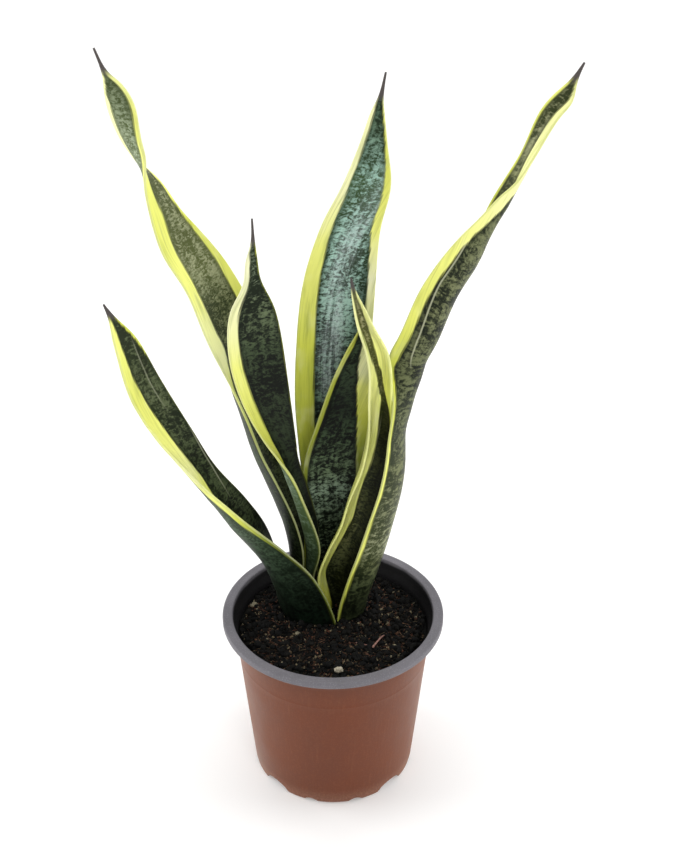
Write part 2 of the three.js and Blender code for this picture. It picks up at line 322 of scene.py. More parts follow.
# Each point is (radius, height) in millimetres: underside, foot, wall, moulding line, step, skirt.
outside = [(0.0, 0.0)] + evenly((10, 0), (32.8, 0), 4) + [(32.9, 0), (33.3, 0)]
outside += evenly((34.5, 0), (38.8, 0), 4) + [(38.9, 0), (39.3, 0)]
outside += evenly((40.3, 0), (43.0, 0), 4) + rounded((43.2, 1.8), 1.8, -85, -5, 7)
outside += evenly((45.05, 2.2), (45.55, 7.4), 10) + evenly((45.6, 7.9), (51.75, 74.4), 24)
outside += [(51.82, 75.2), (51.9, 75.6), (51.96, 76.0), (51.97, 76.4), (51.98, 76.9)]
outside += evenly((52.2, 79.0), (53.3, 91), 5) + [(53.36, 91.6), (54.5, 93.6), (54.75, 94.6)]
outside += evenly((54.8, 95.2), (55.5, 98.3), 4)
outside += [(55.9, 98.75), (56.6, 98.9), (58.2, 98.9), (58.6, 98.6), (58.75, 98.0), (58.8, 97.0)]
outside += [(59.0, 96.65), (59.4, 96.55), (59.8, 96.65), LIP_EDGE]
lip = evenly((60.0, 97.4), (60.0, 98.8), 3) + rounded((59.1, 99.1), 0.9, 0, 90, 7)
lip += [(58.0, 99.97), (57.2, 99.9), (56.4, 99.95)] + rounded((55.2, 99.2), 0.8, 90, 180, 6)
inside = [(54.1, 97.6), (53.6, 95.4), (53.4, 94.0), (52.15, 91.4)]
inside += evenly((52.05, 90.6), (44.2, 6.5), 16) + evenly((44.2, 6.5), (43.75, 2.2), 6)
inside += [(43.5, 1.5), (43.0, WALL)] + evenly((42.0, WALL), (39.0, WALL), 3)
inside += [(r, WALL) for r in (38.0, 37.0, 34.0, 32.0, 31.5, 20.0, 0.0)]
profile = outside + lip + inside
print(len(profile), "profile points, lip", round(2 * max(r for r, z in profile), 1), "mm across")

# %% [markdown]
# Spinning a row of joined points by a full turn with use_merge closes the seam, and merging doubles
# closes the two poles on the axis. Every point keeps its number on the profile, which later tells
# the grey side of the sheet from the brown one.

# %% Spin the pot
SEAM = 0.00001


def spun(line, steps):
    """Spins a line of (radius, height) points about the axis into a closed, numbered skin."""
    bm = bmesh.new()
    station = bm.verts.layers.int.new("station")
    points = [bm.verts.new((r * MM, 0, z * MM)) for r, z in line]
    for number, point in enumerate(points):
        point[station] = number
    edges = [bm.edges.new(pair) for pair in zip(points, points[1:])]
    bmesh.ops.spin(bm, geom=points + edges, angle=math.tau, steps=steps, use_merge=True,
                   axis=(0, 0, 1), cent=(0, 0, 0))
    close_up(bm, SEAM)
    return bm


def close_up(bm, distance):
    """Merges points that are closer than distance, and turns all faces outwards."""
    bmesh.ops.remove_doubles(bm, verts=bm.verts, dist=distance)
    bmesh.ops.recalc_face_normals(bm, faces=bm.faces)


def open_edges(bm):
    """How many edges have a face on one side only."""
    return sum(e.is_boundary for e in bm.edges)


pot = spun(profile, POT_STEPS)
print("open edges on the pot:", open_edges(pot))

# %% [markdown]
# Water has to run out, so the bottom rim is lifted into twelve low arches, four wide ones with a
# drain hole behind them and eight narrow ones. The arches are made by raising every point of the
# bottom that is lower than the arch over it.

# %% Lift the arches
WIDE_ARCH = {"width": 17.0, "height": 5.5, "inner": 33.1}
NARROW_ARCH = {"width": 7.5, "height": 2.6, "inner": 39.1}
QUARTERS = [45 + 90 * k for k in range(4)]
ARCH_ZONE = 8
arches = [(bearing, WIDE_ARCH) for bearing in QUARTERS]
arches += [(side + 90 * k, NARROW_ARCH) for side in (16, 74) for k in range(4)]


def arch_height(x, y):
    """How high the underside is lifted at a point, with the bearing counted from the front."""
    height = 0.0
    for bearing, arch in arches:
        turn = math.radians(bearing)
        outwards = x * math.sin(turn) - y * math.cos(turn)
        sideways = abs(x * math.cos(turn) + y * math.sin(turn)) / (arch["width"] / 2)
        if outwards > 0 and math.hypot(x, y) > arch["inner"] and sideways < 1:
            height = max(height, arch["height"] * math.sqrt(1 - sideways ** 2))
    return height


def wall_middle(z):
    """A radius between the two sides of the pot's wall at a height."""
    return 44.0 + WALL_SLOPE * (z - WALL)


lifted = 0
for vert in pot.verts:
    x, y, z = (c / MM for c in vert.co)
    inner_wall = z >= WALL - 0.01 and math.hypot(x, y) < wall_middle(z)
    lift = arch_height(x, y)
    if lift and z < ARCH_ZONE:
        vert.co.z = max(z, lift + (WALL if inner_wall else 0)) * MM
        lifted += 1
print(len(arches), "arches,", lifted, "points under them")

# %% [markdown]
# The faces from the edge of the skirt inwards get the grey finish and the rest the brown one. Round
# pegs are made here to cut the drain holes later.

# %% Grey side, brown side and drain holes
PEG_PLACE, PEG_HEIGHT, PEG_RADIUS, PEG_LENGTH = 39, 5.5, 2.2, 9
skirt_edge = outside.index(LIP_EDGE) - 3
station = pot.verts.layers.int["station"]
for face in pot.faces:
    numbers = [vert[station] for vert in face.verts]
    face.material_index = int(min(numbers) >= skirt_edge or max(numbers) == len(profile) - 1)

pegs = bmesh.new()
for bearing in QUARTERS:
    turn = math.radians(bearing)
    place = Matrix.Translation((PEG_PLACE * MM * math.sin(turn), -PEG_PLACE * MM * math.cos(turn),
                                PEG_HEIGHT * MM))
    bmesh.ops.create_cone(pegs, cap_ends=True, segments=32, radius1=PEG_RADIUS * MM,
                          radius2=PEG_RADIUS * MM, depth=PEG_LENGTH * MM, matrix=place)
peg_tool = as_object(pegs, "pegs")
print("grey faces:", sum(f.material_index for f in pot.faces))

# %% [markdown]
# ### Pot plastic
# The brown side is even polypropylene with a soft shine. What makes it real is faint: a cloudy
# change of tone, fine vertical drawing marks from the mould, and a little dust near the ground.
# Just under the lip it is painted darker, a painted shadow of the lip, and a weak sheen lightens it
# towards its outline, as on any dull plastic.

# %% Brown side
brown, tree, shader = new_finish("brown_polypropylene")
place = object_place(tree)
cloud = grain(tree, place, (0.03, 0.03, 0.045))
fine = grain(tree, place, (0.0009, 0.0009, 0.0012), detail=2.0)
drawn = grain(tree, place, (0.0016, 0.0016, 0.06))
height = height_of(tree)
dust = times(tree, between(tree, height, 0.012, 0.0, 0, 0.5), fine)
body = ramp(tree, cloud, [(0.3, (92, 38, 4)), (0.7, (102, 43, 6))])
# The last mark is painted shade: the brown is darkened just under the lip, where the lip's shadow
# falls.
for amount, tone in ((between(tree, fine, 0.45, 0.75, 0, 0.35), (124, 60, 22)),
                     (between(tree, drawn, 0.55, 0.8, 0, 0.18), (140, 80, 44)),
                     (dust, (176, 138, 116)),
                     (between(tree, height, 0.08, 0.101, 0, 0.4), (66, 26, 6))):
    body = mix(tree, amount, body, paint(*tone))
feed(tree, shader, {
    "Base Color": body, "Roughness": between(tree, cloud, 0.3, 0.7, 0.34, 0.46),
    "Specular IOR Level": 0.32, "Sheen Weight": 0.12, "Sheen Roughness": 0.5,
    "Sheen Tint": paint(236, 176, 120)})
relief(tree, shader, plus(tree, times(tree, drawn, 0.6), times(tree, fine, 0.5)), 0.00012, 0.5)
print("brown side:", len(tree.nodes), "nodes")

# %% [markdown]
# The grey side is slightly bluish, with fine pale specks where it has been rubbed. Its inside wall
# is painted near-black, up to a slightly wavy line at the lip: partly wet peat and partly painted
# shade in the deep ring between the lip and the soil. One dark paint that fades out with height and
# with the distance from the axis keeps it off the lip itself.

# %% Grey side
PEAT_AND_SHADE_LINE, PEAT_AND_SHADE_RADIUS = (0.1002, 0.0985), (0.0552, 0.0544)
grey, tree, shader = new_finish("grey_polypropylene")
place = object_place(tree)
cloud = grain(tree, place, 0.02)
fine = grain(tree, place, 0.0007, detail=2.0)
body = ramp(tree, cloud, [(0.3, (100, 98, 103)), (0.7, (113, 110, 116))])
body = mix(tree, between(tree, fine, 0.5, 0.72, 0, 0.45), body, paint(142, 140, 145))
axes = add(tree, "ShaderNodeSeparateXYZ", {0: place}).outputs
radius = sums(tree, "SQRT", plus(tree, *(times(tree, axes[key], axes[key]) for key in "XY")))
# The near-black paint on the inside wall is peat and painted shade together.
peat_and_shade = between(tree, plus(tree, axes["Z"], times(tree, cloud, 0.002)), *PEAT_AND_SHADE_LINE)
peat_and_shade = times(tree, peat_and_shade, between(tree, radius, *PEAT_AND_SHADE_RADIUS), 0.97)
feed(tree, shader, {
    "Base Color": mix(tree, peat_and_shade, body, paint(22, 21, 22)),
    "Roughness": between(tree, fine, 0.3, 0.7, 0.45, 0.6), "Specular IOR Level": 0.3})
relief(tree, shader, fine, 0.00008, 0.5)
print("grey side:", len(tree.nodes), "nodes")

# %% Cut the holes and finish the pot
pot_piece = finished(pot, "pot", [brown, grey], "pot_plastic", "nursery_pot")


def cut_with(piece, tool):
    """Takes the tool's shape out of the piece and removes the tool."""
    cut = piece.modifiers.new("cut", "BOOLEAN")
    cut.operation, cut.solver, cut.object = "DIFFERENCE", "EXACT", tool
    view = bpy.context.evaluated_depsgraph_get()
    result = bpy.data.meshes.new_from_object(piece.evaluated_get(view))
    piece.modifiers.clear()
    piece.data = result
    bpy.data.objects.remove(tool)
    return len(result.polygons)


print("pot faces after the holes:", cut_with(pot_piece, peg_tool))

# %% [markdown]
# ## The leaves
# A blade is laid out by its two edges. Each row below gives the left edge, the right edge and how
# deep the hollow between them is, from the foot in the soil to the needle, in millimetres. Left and
# right are as seen on the hollow inner face with the tip up.

# %% Rows of the seven blades
BLADES = {
    "left_tall": [
        (-11.5, 15, 66, -10, 28, 66, 3), (-17.5, 16, 90, -16, 33, 90, 6),
        (-16, 13, 130, -13, 33, 131, 9), (-23, 15, 156, -18, 37, 156, 10.5),
        (-36, 18, 185, -29, 41, 186, 9.5), (-48, 20, 219, -37, 44, 222, 8),
        (-60, 22, 245, -39, 46, 252, 4), (-72, 25, 277, -53.5, 47.5, 284, 2.5),
        (-82, 27, 296, -66.5, 47, 302, 2.5), (-87, 29, 314, -74.5, 45, 313, 2),
        (-89, 31, 330, -84, 49, 326, 1.5), (-88, 35, 341, -95, 51, 335, 1),
        (-90, 37, 351, -102, 49, 347, 1.2), (-92, 41, 366, -106, 45, 364, 1.2),
        (-98, 43, 376, -106.5, 44, 373, 0.8), (-104, 44, 380, -106.5, 44, 379, 0.3),
        (-109.3, 46, 391, -110.3, 46, 390.6, 0.1)],
    "left_middle": [
        (-6, 11, 66, -6, 19.5, 66, 2.5), (-8.5, 10.5, 90, -9, 22, 90, 5),
        (-10.5, 9.5, 113, -9, 21, 114, 4), (-6.5, 8.5, 134, -7.5, 20.5, 136, 7),
        (-15, 7, 165, -13, 19.5, 167, 6.5), (-21, 6, 182, -18, 20.5, 184, 5.5),
        (-35, 6, 203, -19, 19, 196, 3.5), (-47, 6, 231, -22, 16, 230, 2.5),
        (-51, 6, 258, -25, 14, 259, 2), (-49, 7, 275, -28, 12, 276, 1.5),
        (-42, 8, 289, -34, 11, 290, 1), (-41, 9, 300, -35, 10, 300, 0.6),
        (-38, 10, 309, -36, 10, 309, 0.3), (-37.6, 11, 321, -36.7, 11, 321, 0.1)],
    "centre_tall": [
        (-8, 32.5, 66, 7, 33.5, 66, 3), (-13.5, 35, 90, 12, 37, 90, 6),
        (-15, 36, 148, 12, 38, 148, 5), (-18, 36, 177, 16, 38, 177, 4),
        (-20, 38, 209, 19, 40, 210, 3), (-19, 40, 239, 20, 42, 240, 3),
        (-15, 42, 274, 22, 45, 274, 3), (-6, 45, 303, 24, 48, 301, 2.5),
        (6, 49, 326, 29, 50, 323, 2), (14, 52, 345, 27, 53, 342, 1.5),
        (19, 54, 360, 25, 54, 360, 1), (22, 55, 365, 24.5, 55, 365, 0.3),
        (25, 56, 377, 26, 56, 377, 0.1)],
    "centre_short": [
        (-4.5, 22, 66, 7, 24, 66, 3), (-7, 24, 90, 10, 26, 90, 5),
        (-16, 22, 157, 18, 24, 161, 4), (-15, 22, 182, 20, 25, 185, 3.5),
        (-8, 23, 204, 21, 26, 205, 3), (0, 24, 229, 21, 26, 229, 2),
        (8, 25, 247, 18, 26, 247, 1), (13, 26, 256, 16, 26, 257, 0.4),
        (14.2, 26, 264, 15.2, 26, 264, 0.1)],
    "right_tall": [
        (10, 23, 66, 5, 6, 66, 5), (14, 27, 90, 2, 1, 90, 8.5), (24.5, 22, 120, 8, -2, 122, 6),
        (28, 22, 136, 13, -3, 139, 6.5), (32, 24, 170, 22, -4, 172, 7.5),
        (34, 25, 189, 26, -4, 191, 6.3), (35, 25, 205, 28, -3, 209, 4.3),
        (38, 28, 219, 30, 2.5, 228, 6), (42, 31, 232, 29, 7, 239, 8.5),
        (46, 31, 242, 27.4, 9.6, 249, 9.5), (52, 32, 252, 33, 11, 261, 9),
        (60, 33, 273, 43, 14, 285, 8), (72, 33, 294, 58, 16, 307, 6),
        (71.6, 32.5, 309, 70.8, 18, 320, 6.4), (76.4, 31.5, 323, 78.2, 18, 329, 6.4),
        (81.4, 30.5, 333, 85.6, 18, 336, 3.6), (88, 28, 347, 93.4, 18, 349, 1.6),
        (95, 25, 368, 103.4, 20, 366, 1.2), (101, 22, 377, 109, 20, 373, 0.8),
        (107, 21, 383, 110, 21, 382, 0.3), (111.8, 20, 391, 112.7, 20, 390.6, 0.1)],
    "left_low": [
        (1, 6, 66, -17, 22, 66, 5), (2, -1, 90, -30, 25, 90, 11), (-9, -6, 124, -31, 26, 113, 13),
        (-24, -10, 145, -36, 20, 141, 12), (-43, -14, 166, -46, 12, 165, 11),
        (-63, -17, 189, -60, 8, 187, 6.5), (-84, -19, 218, -71, 4, 212, 4),
        (-96, -20, 243, -84, 0, 243, 3), (-101, -19, 270, -93, -8, 270, 1.5),
        (-103, -17, 283, -100.5, -16, 284, 0.6), (-105, -17, 290, -104.2, -17, 290.4, 0.1)],
    "front_folded": [
        (-1.5, 10, 66, 5, 11, 66, 3.5), (-4, 9, 90, 10, 10, 90, 8), (-8, 4, 117, 10, 9.5, 115, 9),
        (-3, 4, 134, 15.5, 9.5, 130, 9), (4, 3, 151, 20.5, 9.5, 147, 9),
        (8, 3, 167, 24, 9.5, 164, 9), (15, 3, 187, 28, 10, 184, 9), (18, 3, 206, 30, 8, 205, 9),
        (18, 3, 229, 29.4, 3.2, 229, 9), (18, 3, 244, 29, 0.6, 243, 8),
        (16, 3, 256, 27, 1, 256, 6), (12, 3, 269, 21, 3, 267, 4.5), (10, 3, 281, 15, 4, 280, 2),
        (9, 4, 288, 11, 4, 288, 0.5), (8.6, 4, 294, 9.5, 4, 294, 0.1)],
}
print({name: len(rows) for name, rows in BLADES.items()}, "rows")

# %% [markdown]
# The bands give the width of the yellow margins at a few heights, separately for the two faces,
# because the yellow reaches further round on one of them. Inner and outer name the face, left and
# right the edge. Each entry is (height, width) in millimetres.

# %% Widths of the yellow margins
MARGINS = {
    "left_tall": {
        "inner_left": [(90, 0.8), (190, 1), (205, 1.6), (219, 3.2), (232, 7), (245, 9.2),
            (277, 6.5), (296, 8), (314, 8.9), (345, 5), (391, 2)],
        "inner_right": [(90, 3), (219, 5), (277, 5.0), (296, 2.8), (314, 1.0), (345, 3), (391, 2)],
        "outer_left": [(90, 0.3), (190, 0.5), (219, 1.2), (277, 4), (314, 4), (341, 2.0),
            (351, 1.8), (366, 2.0), (378, 1.4), (391, 0)],
        "outer_right": [(90, 2), (219, 3), (314, 5), (335, 7.4), (341, 6.6), (351, 4.8), (366, 2.4),
            (378, 1), (391, 0)]},
    "left_middle": {
        "inner_left": [(90, 2), (165, 4), (182, 6.4), (203, 7.0), (231, 6.4), (258, 5.6),
            (275, 4.4), (289, 2.6), (300, 2), (306, 0)],
        "inner_right": [(90, 0), (306, 0)],
        "outer_left": [(90, 0.6), (182, 0.8), (203, 3), (258, 4), (289, 1.5), (306, 0)],
        "outer_right": [(90, 0), (306, 0)]},
    "centre_tall": {
        "inner_left": [(90, 7), (150, 9), (209, 10), (239, 9.6), (274, 8.4), (303, 5.8), (326, 2.7),
            (345, 2.1), (358, 1.4), (364, 0)],
        "inner_right": [(90, 3), (209, 4), (274, 3.8), (303, 4.3), (326, 3.2), (345, 0.9),
            (364, 0)],
        "outer_left": [(90, 4), (209, 6), (303, 4), (364, 0)],
        "outer_right": [(90, 3), (209, 4), (303, 4), (364, 0)]},
    "centre_short": {
        "inner_left": [(90, 1), (157, 2), (182, 2.3), (229, 2.1), (247, 1.8), (256, 0.6)],
        "inner_right": [(90, 3), (157, 5.5), (182, 7.5), (222, 8.8), (236, 7), (247, 3),
            (256, 0.6)],
        "outer_left": [(90, 1), (204, 3), (256, 0.6)],
        "outer_right": [(90, 2), (204, 4), (256, 0.6)]},
    "right_tall": {
        "inner_left": [(90, 3), (232, 3), (308, 1.2), (347, 1.0), (377, 0.8), (391, 0)],
        "inner_right": [(90, 3), (232, 5), (308, 5), (322, 6.9), (337, 7), (347, 5.6), (358, 3.6),
            (368, 2.8), (380, 1), (391, 0)],
        "outer_left": [(90, 0.6), (232, 1), (294, 1), (322, 1.5), (391, 0)],
        "outer_right": [(90, 1.0), (120, 1.7), (136, 1.8), (170, 1.4), (189, 1.4), (205, 1.4),
            (226, 1.2), (236, 1.6), (241, 2.3), (246, 4.8), (252, 5.0), (273, 4.9), (294, 4.8),
            (308, 4.0), (322, 5.4), (347, 5), (391, 0)]},
    "left_low": {
        "inner_left": [(90, 1), (124, 3), (145, 7), (166, 15), (189, 17), (218, 12.8), (243, 8.8),
            (270, 3.6), (283, 0.8)],
        "inner_right": [(90, 0), (189, 0), (255, 0), (266, 1.2), (275, 1.2), (283, 0)],
        "outer_left": [(90, 0.8), (145, 1.2), (166, 3), (189, 5), (243, 4), (283, 0)],
        "outer_right": [(90, 1), (166, 1.2), (243, 2), (283, 0)]},
    "front_folded": {
        "inner_left": [(90, 6), (117, 9), (134, 12), (151, 14), (167, 14), (187, 15), (206, 14.5),
            (225, 13.5), (232, 8.5), (242, 4.7), (248, 3), (253, 1.8), (258, 1.2), (281, 0.8),
            (288, 0)],
        "inner_right": [(90, 0), (205, 0), (216, 0.6), (222, 1.8), (228, 5), (234, 8.5), (240, 11),
            (246, 13), (257, 11), (263, 7.4), (269, 4.2), (281, 1.5), (288, 0)],
        "outer_left": [(90, 4), (151, 6), (206, 6), (256, 4), (288, 0)],
        "outer_right": [(90, 2), (151, 3), (206, 5), (256, 4), (288, 0)]},
}
print(sum(len(v) for m in MARGINS.values() for v in m.values()), "margin widths")

# %% Fine grooves and pale edge lines
# A groove is (face, depth, line): face 1 is outside and -1 inside, depth goes up to 1, and the line
# gives (height, distance from the left edge).
GROOVES = {
    "right_tall": [(1, 1.0, [(240, 23.5), (256, 26.8), (285, 26), (330, 20)])],
    "left_low": [(-1, 0.6, [(172, 27), (200, 27), (222, 28.3)]),
                 (-1, 0.45, [(226, 21), (250, 16.8), (272, 11)])],
    "front_folded": [(-1, 0.35, [(192, 15.5), (217, 15.5)])],
}
# How clearly the hair-thin pale line shows along the left and the right edge.
EDGE_LINES = {"left_tall": (1.0, 0.5), "left_middle": (0.9, 0.0), "centre_tall": (0.4, 0.4),
              "centre_short": (0.4, 0.3), "right_tall": (0.3, 0.8), "left_low": (0.8, 0.1),
              "front_folded": (0.5, 0.3)}
print("leaves with grooves:", list(GROOVES))

# %% [markdown]
# ### How light each leaf is
# One plant has one set of pigments, so all seven leaves share three scales of paint: a dark green,
# a pale green and a yellow, each running from 0, nearly black at the foot, to 1, the palest. What
# differs from leaf to leaf is only how far up the scale it sits at a height. That follows the
# leaf's age and waxy skin, and it also carries painted light and shade: the scale sits low near the
# soil and where other leaves shade a leaf, and high where a part faces the light. Warmth turns both
# greens towards olive or blue. The folded leaf in front is so narrow that its inside lies in its
# own shade near the right edge, which is painted as well.

# %% Paint scales
DARK_GREENS = [(0.0, (5, 8, 4)), (0.3, (21, 31, 15)), (0.6, (49, 61, 34)), (1.0, (102, 118, 72))]
PALE_GREENS = [(0.0, (18, 28, 16)), (0.3, (66, 80, 54)), (0.6, (112, 126, 92)),
               (1.0, (188, 206, 176))]
YELLOWS = [(0.0, (44, 54, 18)), (0.3, (134, 143, 48)), (0.6, (213, 217, 86)),
           (0.85, (246, 248, 136)), (1.0, (250, 250, 204))]
print("scales:", len(DARK_GREENS), len(PALE_GREENS), len(YELLOWS), "stops")

# %% Tones of each leaf
# Inner and outer face: (height, dark tone, pale tone). Left and right margin: (height, tone).
# Warmth is given for the inner and the outer face, from -1, bluish, to 1, olive.
# The tones carry painted light and shade as well as the leaves' own lightness: low near the soil
# and where other leaves shade a leaf, high where a part faces the light.
TONES_AND_SHADING = {
    "left_tall": {
        "inner": [(100, 0.15, 0.15), (200, 0.22, 0.27), (240, 0.34, 0.44), (265, 0.55, 0.6),
            (284, 0.78, 0.74), (391, 0.6, 0.64)],
        "outer": [(100, 0.1, 0.12), (190, 0.24, 0.28), (240, 0.4, 0.4), (340, 0.86, 0.84),
            (391, 0.6, 0.56)],
        "warmth": (0.4, 0.1),
        "left": [(100, 0.15), (195, 0.4), (215, 0.75), (240, 0.96), (262, 0.92), (310, 0.72),
            (391, 0.93)],
        "right": [(100, 0.15), (245, 0.66), (275, 0.74), (300, 0.6), (345, 0.94), (391, 0.94)]},
    "left_middle": {
        "inner": [(100, 0.0, 0.04), (170, 0.03, 0.07), (210, 0.04, 0.12), (250, 0.06, 0.26),
            (290, 0.34, 0.72)],
        "outer": [(100, 0.36, 0.24), (130, 0.56, 0.44), (160, 0.84, 0.74), (200, 0.84, 0.74)],
        "warmth": (0.0, -0.3),
        "left": [(100, 0.15), (150, 0.28), (180, 0.55), (225, 0.76), (262, 0.93), (290, 1.0)],
        "right": [(100, 0.1), (290, 0.5)]},
    "centre_tall": {
        "inner": [(150, 0.06, 0.36), (205, 0.12, 0.6), (240, 0.26, 0.8), (280, 0.5, 1.0),
            (325, 0.74, 1.0), (345, 0.5, 0.7), (377, 0.18, 0.3)],
        "outer": [(100, 0.2, 0.2), (200, 0.5, 0.5)],
        "warmth": (-0.6, 0.0),
        "left": [(100, 0.06), (170, 0.42), (230, 0.54), (260, 0.72), (320, 0.96)],
        "right": [(100, 0.05), (215, 0.74), (275, 1.0), (330, 0.68)]},
    "centre_short": {
        "inner": [(100, 0.08, 0.4), (140, 0.12, 0.62), (162, 0.12, 0.76), (185, 0.02, 0.42),
            (210, 0.0, 0.08), (236, 0.0, 0.2), (264, 0.3, 0.5)],
        "outer": [(100, 0.2, 0.2), (264, 0.5, 0.5)],
        "warmth": (-0.2, 0.0),
        "left": [(100, 0.1), (230, 0.42), (264, 0.56)],
        "right": [(100, 0.12), (180, 0.32), (205, 0.58), (232, 0.96)]},
    "right_tall": {
        "inner": [(100, 0.2, 0.1), (310, 0.5, 0.5), (350, 0.6, 0.72), (391, 0.46, 0.66)],
        "outer": [(100, 0.06, 0.1), (120, 0.24, 0.34), (140, 0.62, 0.74), (180, 0.5, 0.62),
            (205, 0.42, 0.5), (225, 0.34, 0.5), (240, 0.16, 0.44), (268, 0.26, 0.58),
            (310, 0.34, 0.54), (391, 0.5, 0.7)],
        "warmth": (0.5, 0.4),
        "left": [(100, 0.15), (230, 0.5), (391, 0.75)],
        "right": [(100, 0.5), (140, 0.76), (200, 0.8), (235, 0.6), (255, 0.7), (300, 0.86),
            (325, 0.92), (391, 0.92)]},
    "left_low": {
        "inner": [(120, 0.02, 0.1), (170, 0.03, 0.28), (200, 0.14, 0.3), (230, 0.36, 0.42),
            (290, 0.38, 0.36)],
        "outer": [(100, 0.0, 0.0), (130, 0.16, 0.12), (160, 0.5, 0.38), (230, 0.65, 0.56)],
        "warmth": (0.2, -0.35),
        "left": [(145, 0.12), (160, 0.4), (176, 0.74), (195, 0.92), (240, 0.75), (290, 0.86)],
        "right": [(110, 0.05), (200, 0.15), (260, 0.6)]},
    "front_folded": {
        "inner": [(100, 0.06, 0.1), (140, 0.34, 0.42), (200, 0.5, 0.5), (235, 0.48, 0.48),
            (262, 0.72, 0.76), (294, 0.62, 0.62)],
        "outer": [(100, 0.15, 0.15), (294, 0.6, 0.58)],
        "warmth": (0.9, 0.0),
        "left": [(96, 0.6), (130, 0.84), (200, 0.88), (255, 0.92)],
        "right": [(96, 0.3), (215, 0.6), (240, 0.86), (294, 0.92)]},
}
# Where the fold of a leaf lies in its own shade: (height, reach from the right edge).
FOLD_SHADE = {"front_folded": [(90, 9), (150, 10), (190, 12), (216, 12), (228, 6), (234, 0.1)]}
FOLD_DEPTH, FOLD_RISE = 0.85, 1.7
print("leaves with tones:", len(TONES_AND_SHADING))

# %% [markdown]
# ### From rows to a smooth blade
# The rows are only waypoints. A cubic curve that passes through every row, its pace set by the root
# of the distance between two rows, joins them without overshooting. It is then averaged a little
# along the blade, because a leaf has no kinks.

# %% Curve through the rows
def on_curve(points, t):
    """The place at t (0 to 1) on a smooth curve that passes through all points."""
    place = t * (len(points) - 1)
    i = min(int(place), len(points) - 2)
    part = place - i
    p1, p2 = points[i], points[i + 1]
    p0 = points[i - 1] if i else p1 * 2 - p2
    p3 = points[i + 2] if i + 2 < len(points) else p2 * 2 - p1
    d0, d1, d2 = ((b - a).length ** 0.5 for a, b in ((p0, p1), (p1, p2), (p2, p3)))
    m1 = ((p1 - p0) / d0 - (p2 - p0) / (d0 + d1) + (p2 - p1) / d1) * d1
    m2 = ((p2 - p1) / d1 - (p3 - p1) / (d1 + d2) + (p3 - p2) / d2) * d1
    a = p1 * 2 - p2 * 2 + m1 + m2
    b = p2 * 3 - p1 * 3 - m1 * 2 - m2
    return ((a * part + b) * part + m1) * part + p1


def at_height(pairs, height):
    """The value at a height, on straight lines between (height, value) pairs."""
    if height <= pairs[0][0]:
        return pairs[0][1]
    for (low, a), (high, b) in zip(pairs, pairs[1:]):
        if height <= high:
            return a + (b - a) * (height - low) / (high - low)
    return pairs[-1][1]


print("yellow on centre_tall at 250 mm:",
      round(at_height(MARGINS["centre_tall"]["inner_left"], 250), 1), "mm wide")

# %% Even stations along a blade
STATION_MM, SOFTEN_MM = 2.2, 4.0
CURVE_STEPS = 800
FAR_ENOUGH = 2.2


def stations(rows):
    """Even steps along the blade: left edge, right edge, hollow and distance from the foot."""
    lefts = [Vector(r[0:3]) for r in rows]
    rights = [Vector(r[3:6]) for r in rows]
    fine = [i / CURVE_STEPS for i in range(CURVE_STEPS + 1)]
    left = [on_curve(lefts, t) for t in fine]
    right = [on_curve(rights, t) for t in fine]
    hollow = [at_height(list(enumerate(r[6] for r in rows)), t * (len(rows) - 1)) for t in fine]
    middle = [(a + b) / 2 for a, b in zip(left, right)]
    along = [0.0]
    for a, b in zip(middle, middle[1:]):
        along.append(along[-1] + (b - a).length)
    found = []
    count = round(along[-1] / STATION_MM)
    for k in range(count + 1):
        here = along[-1] * k / count
        reach = min(SOFTEN_MM, here + 0.01, along[-1] - here + 0.01)
        near = [i for i, a in enumerate(along) if abs(a - here) <= FAR_ENOUGH * reach] or [0]
        weights = [math.exp(-((along[i] - here) / reach) ** 2) for i in near]
        total = sum(weights)
        blend = lambda values: sum((values[i] * w for i, w in zip(near[1:], weights[1:])),
                                   values[near[0]] * weights[0]) / total
        found.append((blend(left), blend(right), blend(hollow), here))
    return found


def middle_height(cut):
    """The height of the middle of a station."""
    return (cut[0].z + cut[1].z) / 2


trial = stations(BLADES["centre_tall"])
print("centre_tall:", len(trial), "stations,", round(trial[-1][3]), "mm long")

# %% [markdown]
# ### Rolling a flat grid into a blade
# A blade is a closed skin: outer face, round edge, inner face, round edge. A grid is made and each
# of its points is sent to its place, so that the grid's width goes once round the section. Points
# crowd towards the edges, where the skin turns sharply. The two sides of the grid meet at the left
# edge and are merged there, and the foot is closed with one face.

# %% A point on the skin
LEAF_THICK, EDGE_THICK, FOOT = 2.4, 1.2, 66.0
# A slow wave and a fine ripple in the skin: (lift, size across, size along, shift of the noise).
WAVES = ((0.55, 14, 26, 0), (0.12, 5, 9, 7))


def section_frame(cuts, k):
    """Directions along, across and outwards at station k, and half the width there."""
    before, after = cuts[max(k - 1, 0)], cuts[min(k + 1, len(cuts) - 1)]
    along = ((after[0] + after[1]) - (before[0] + before[1])).normalized()
    across = cuts[k][1] - cuts[k][0]
    half = across.length / 2
    across.normalize()
    return along, across, along.cross(across).normalized(), half


def on_section(cut, across, outward, side):
    """The point on a section's middle curve; side runs from -1 at the left edge to 1."""
    return (cut[0] + cut[1]) / 2 + across * side + outward * cut[2] * (1 - side * side)


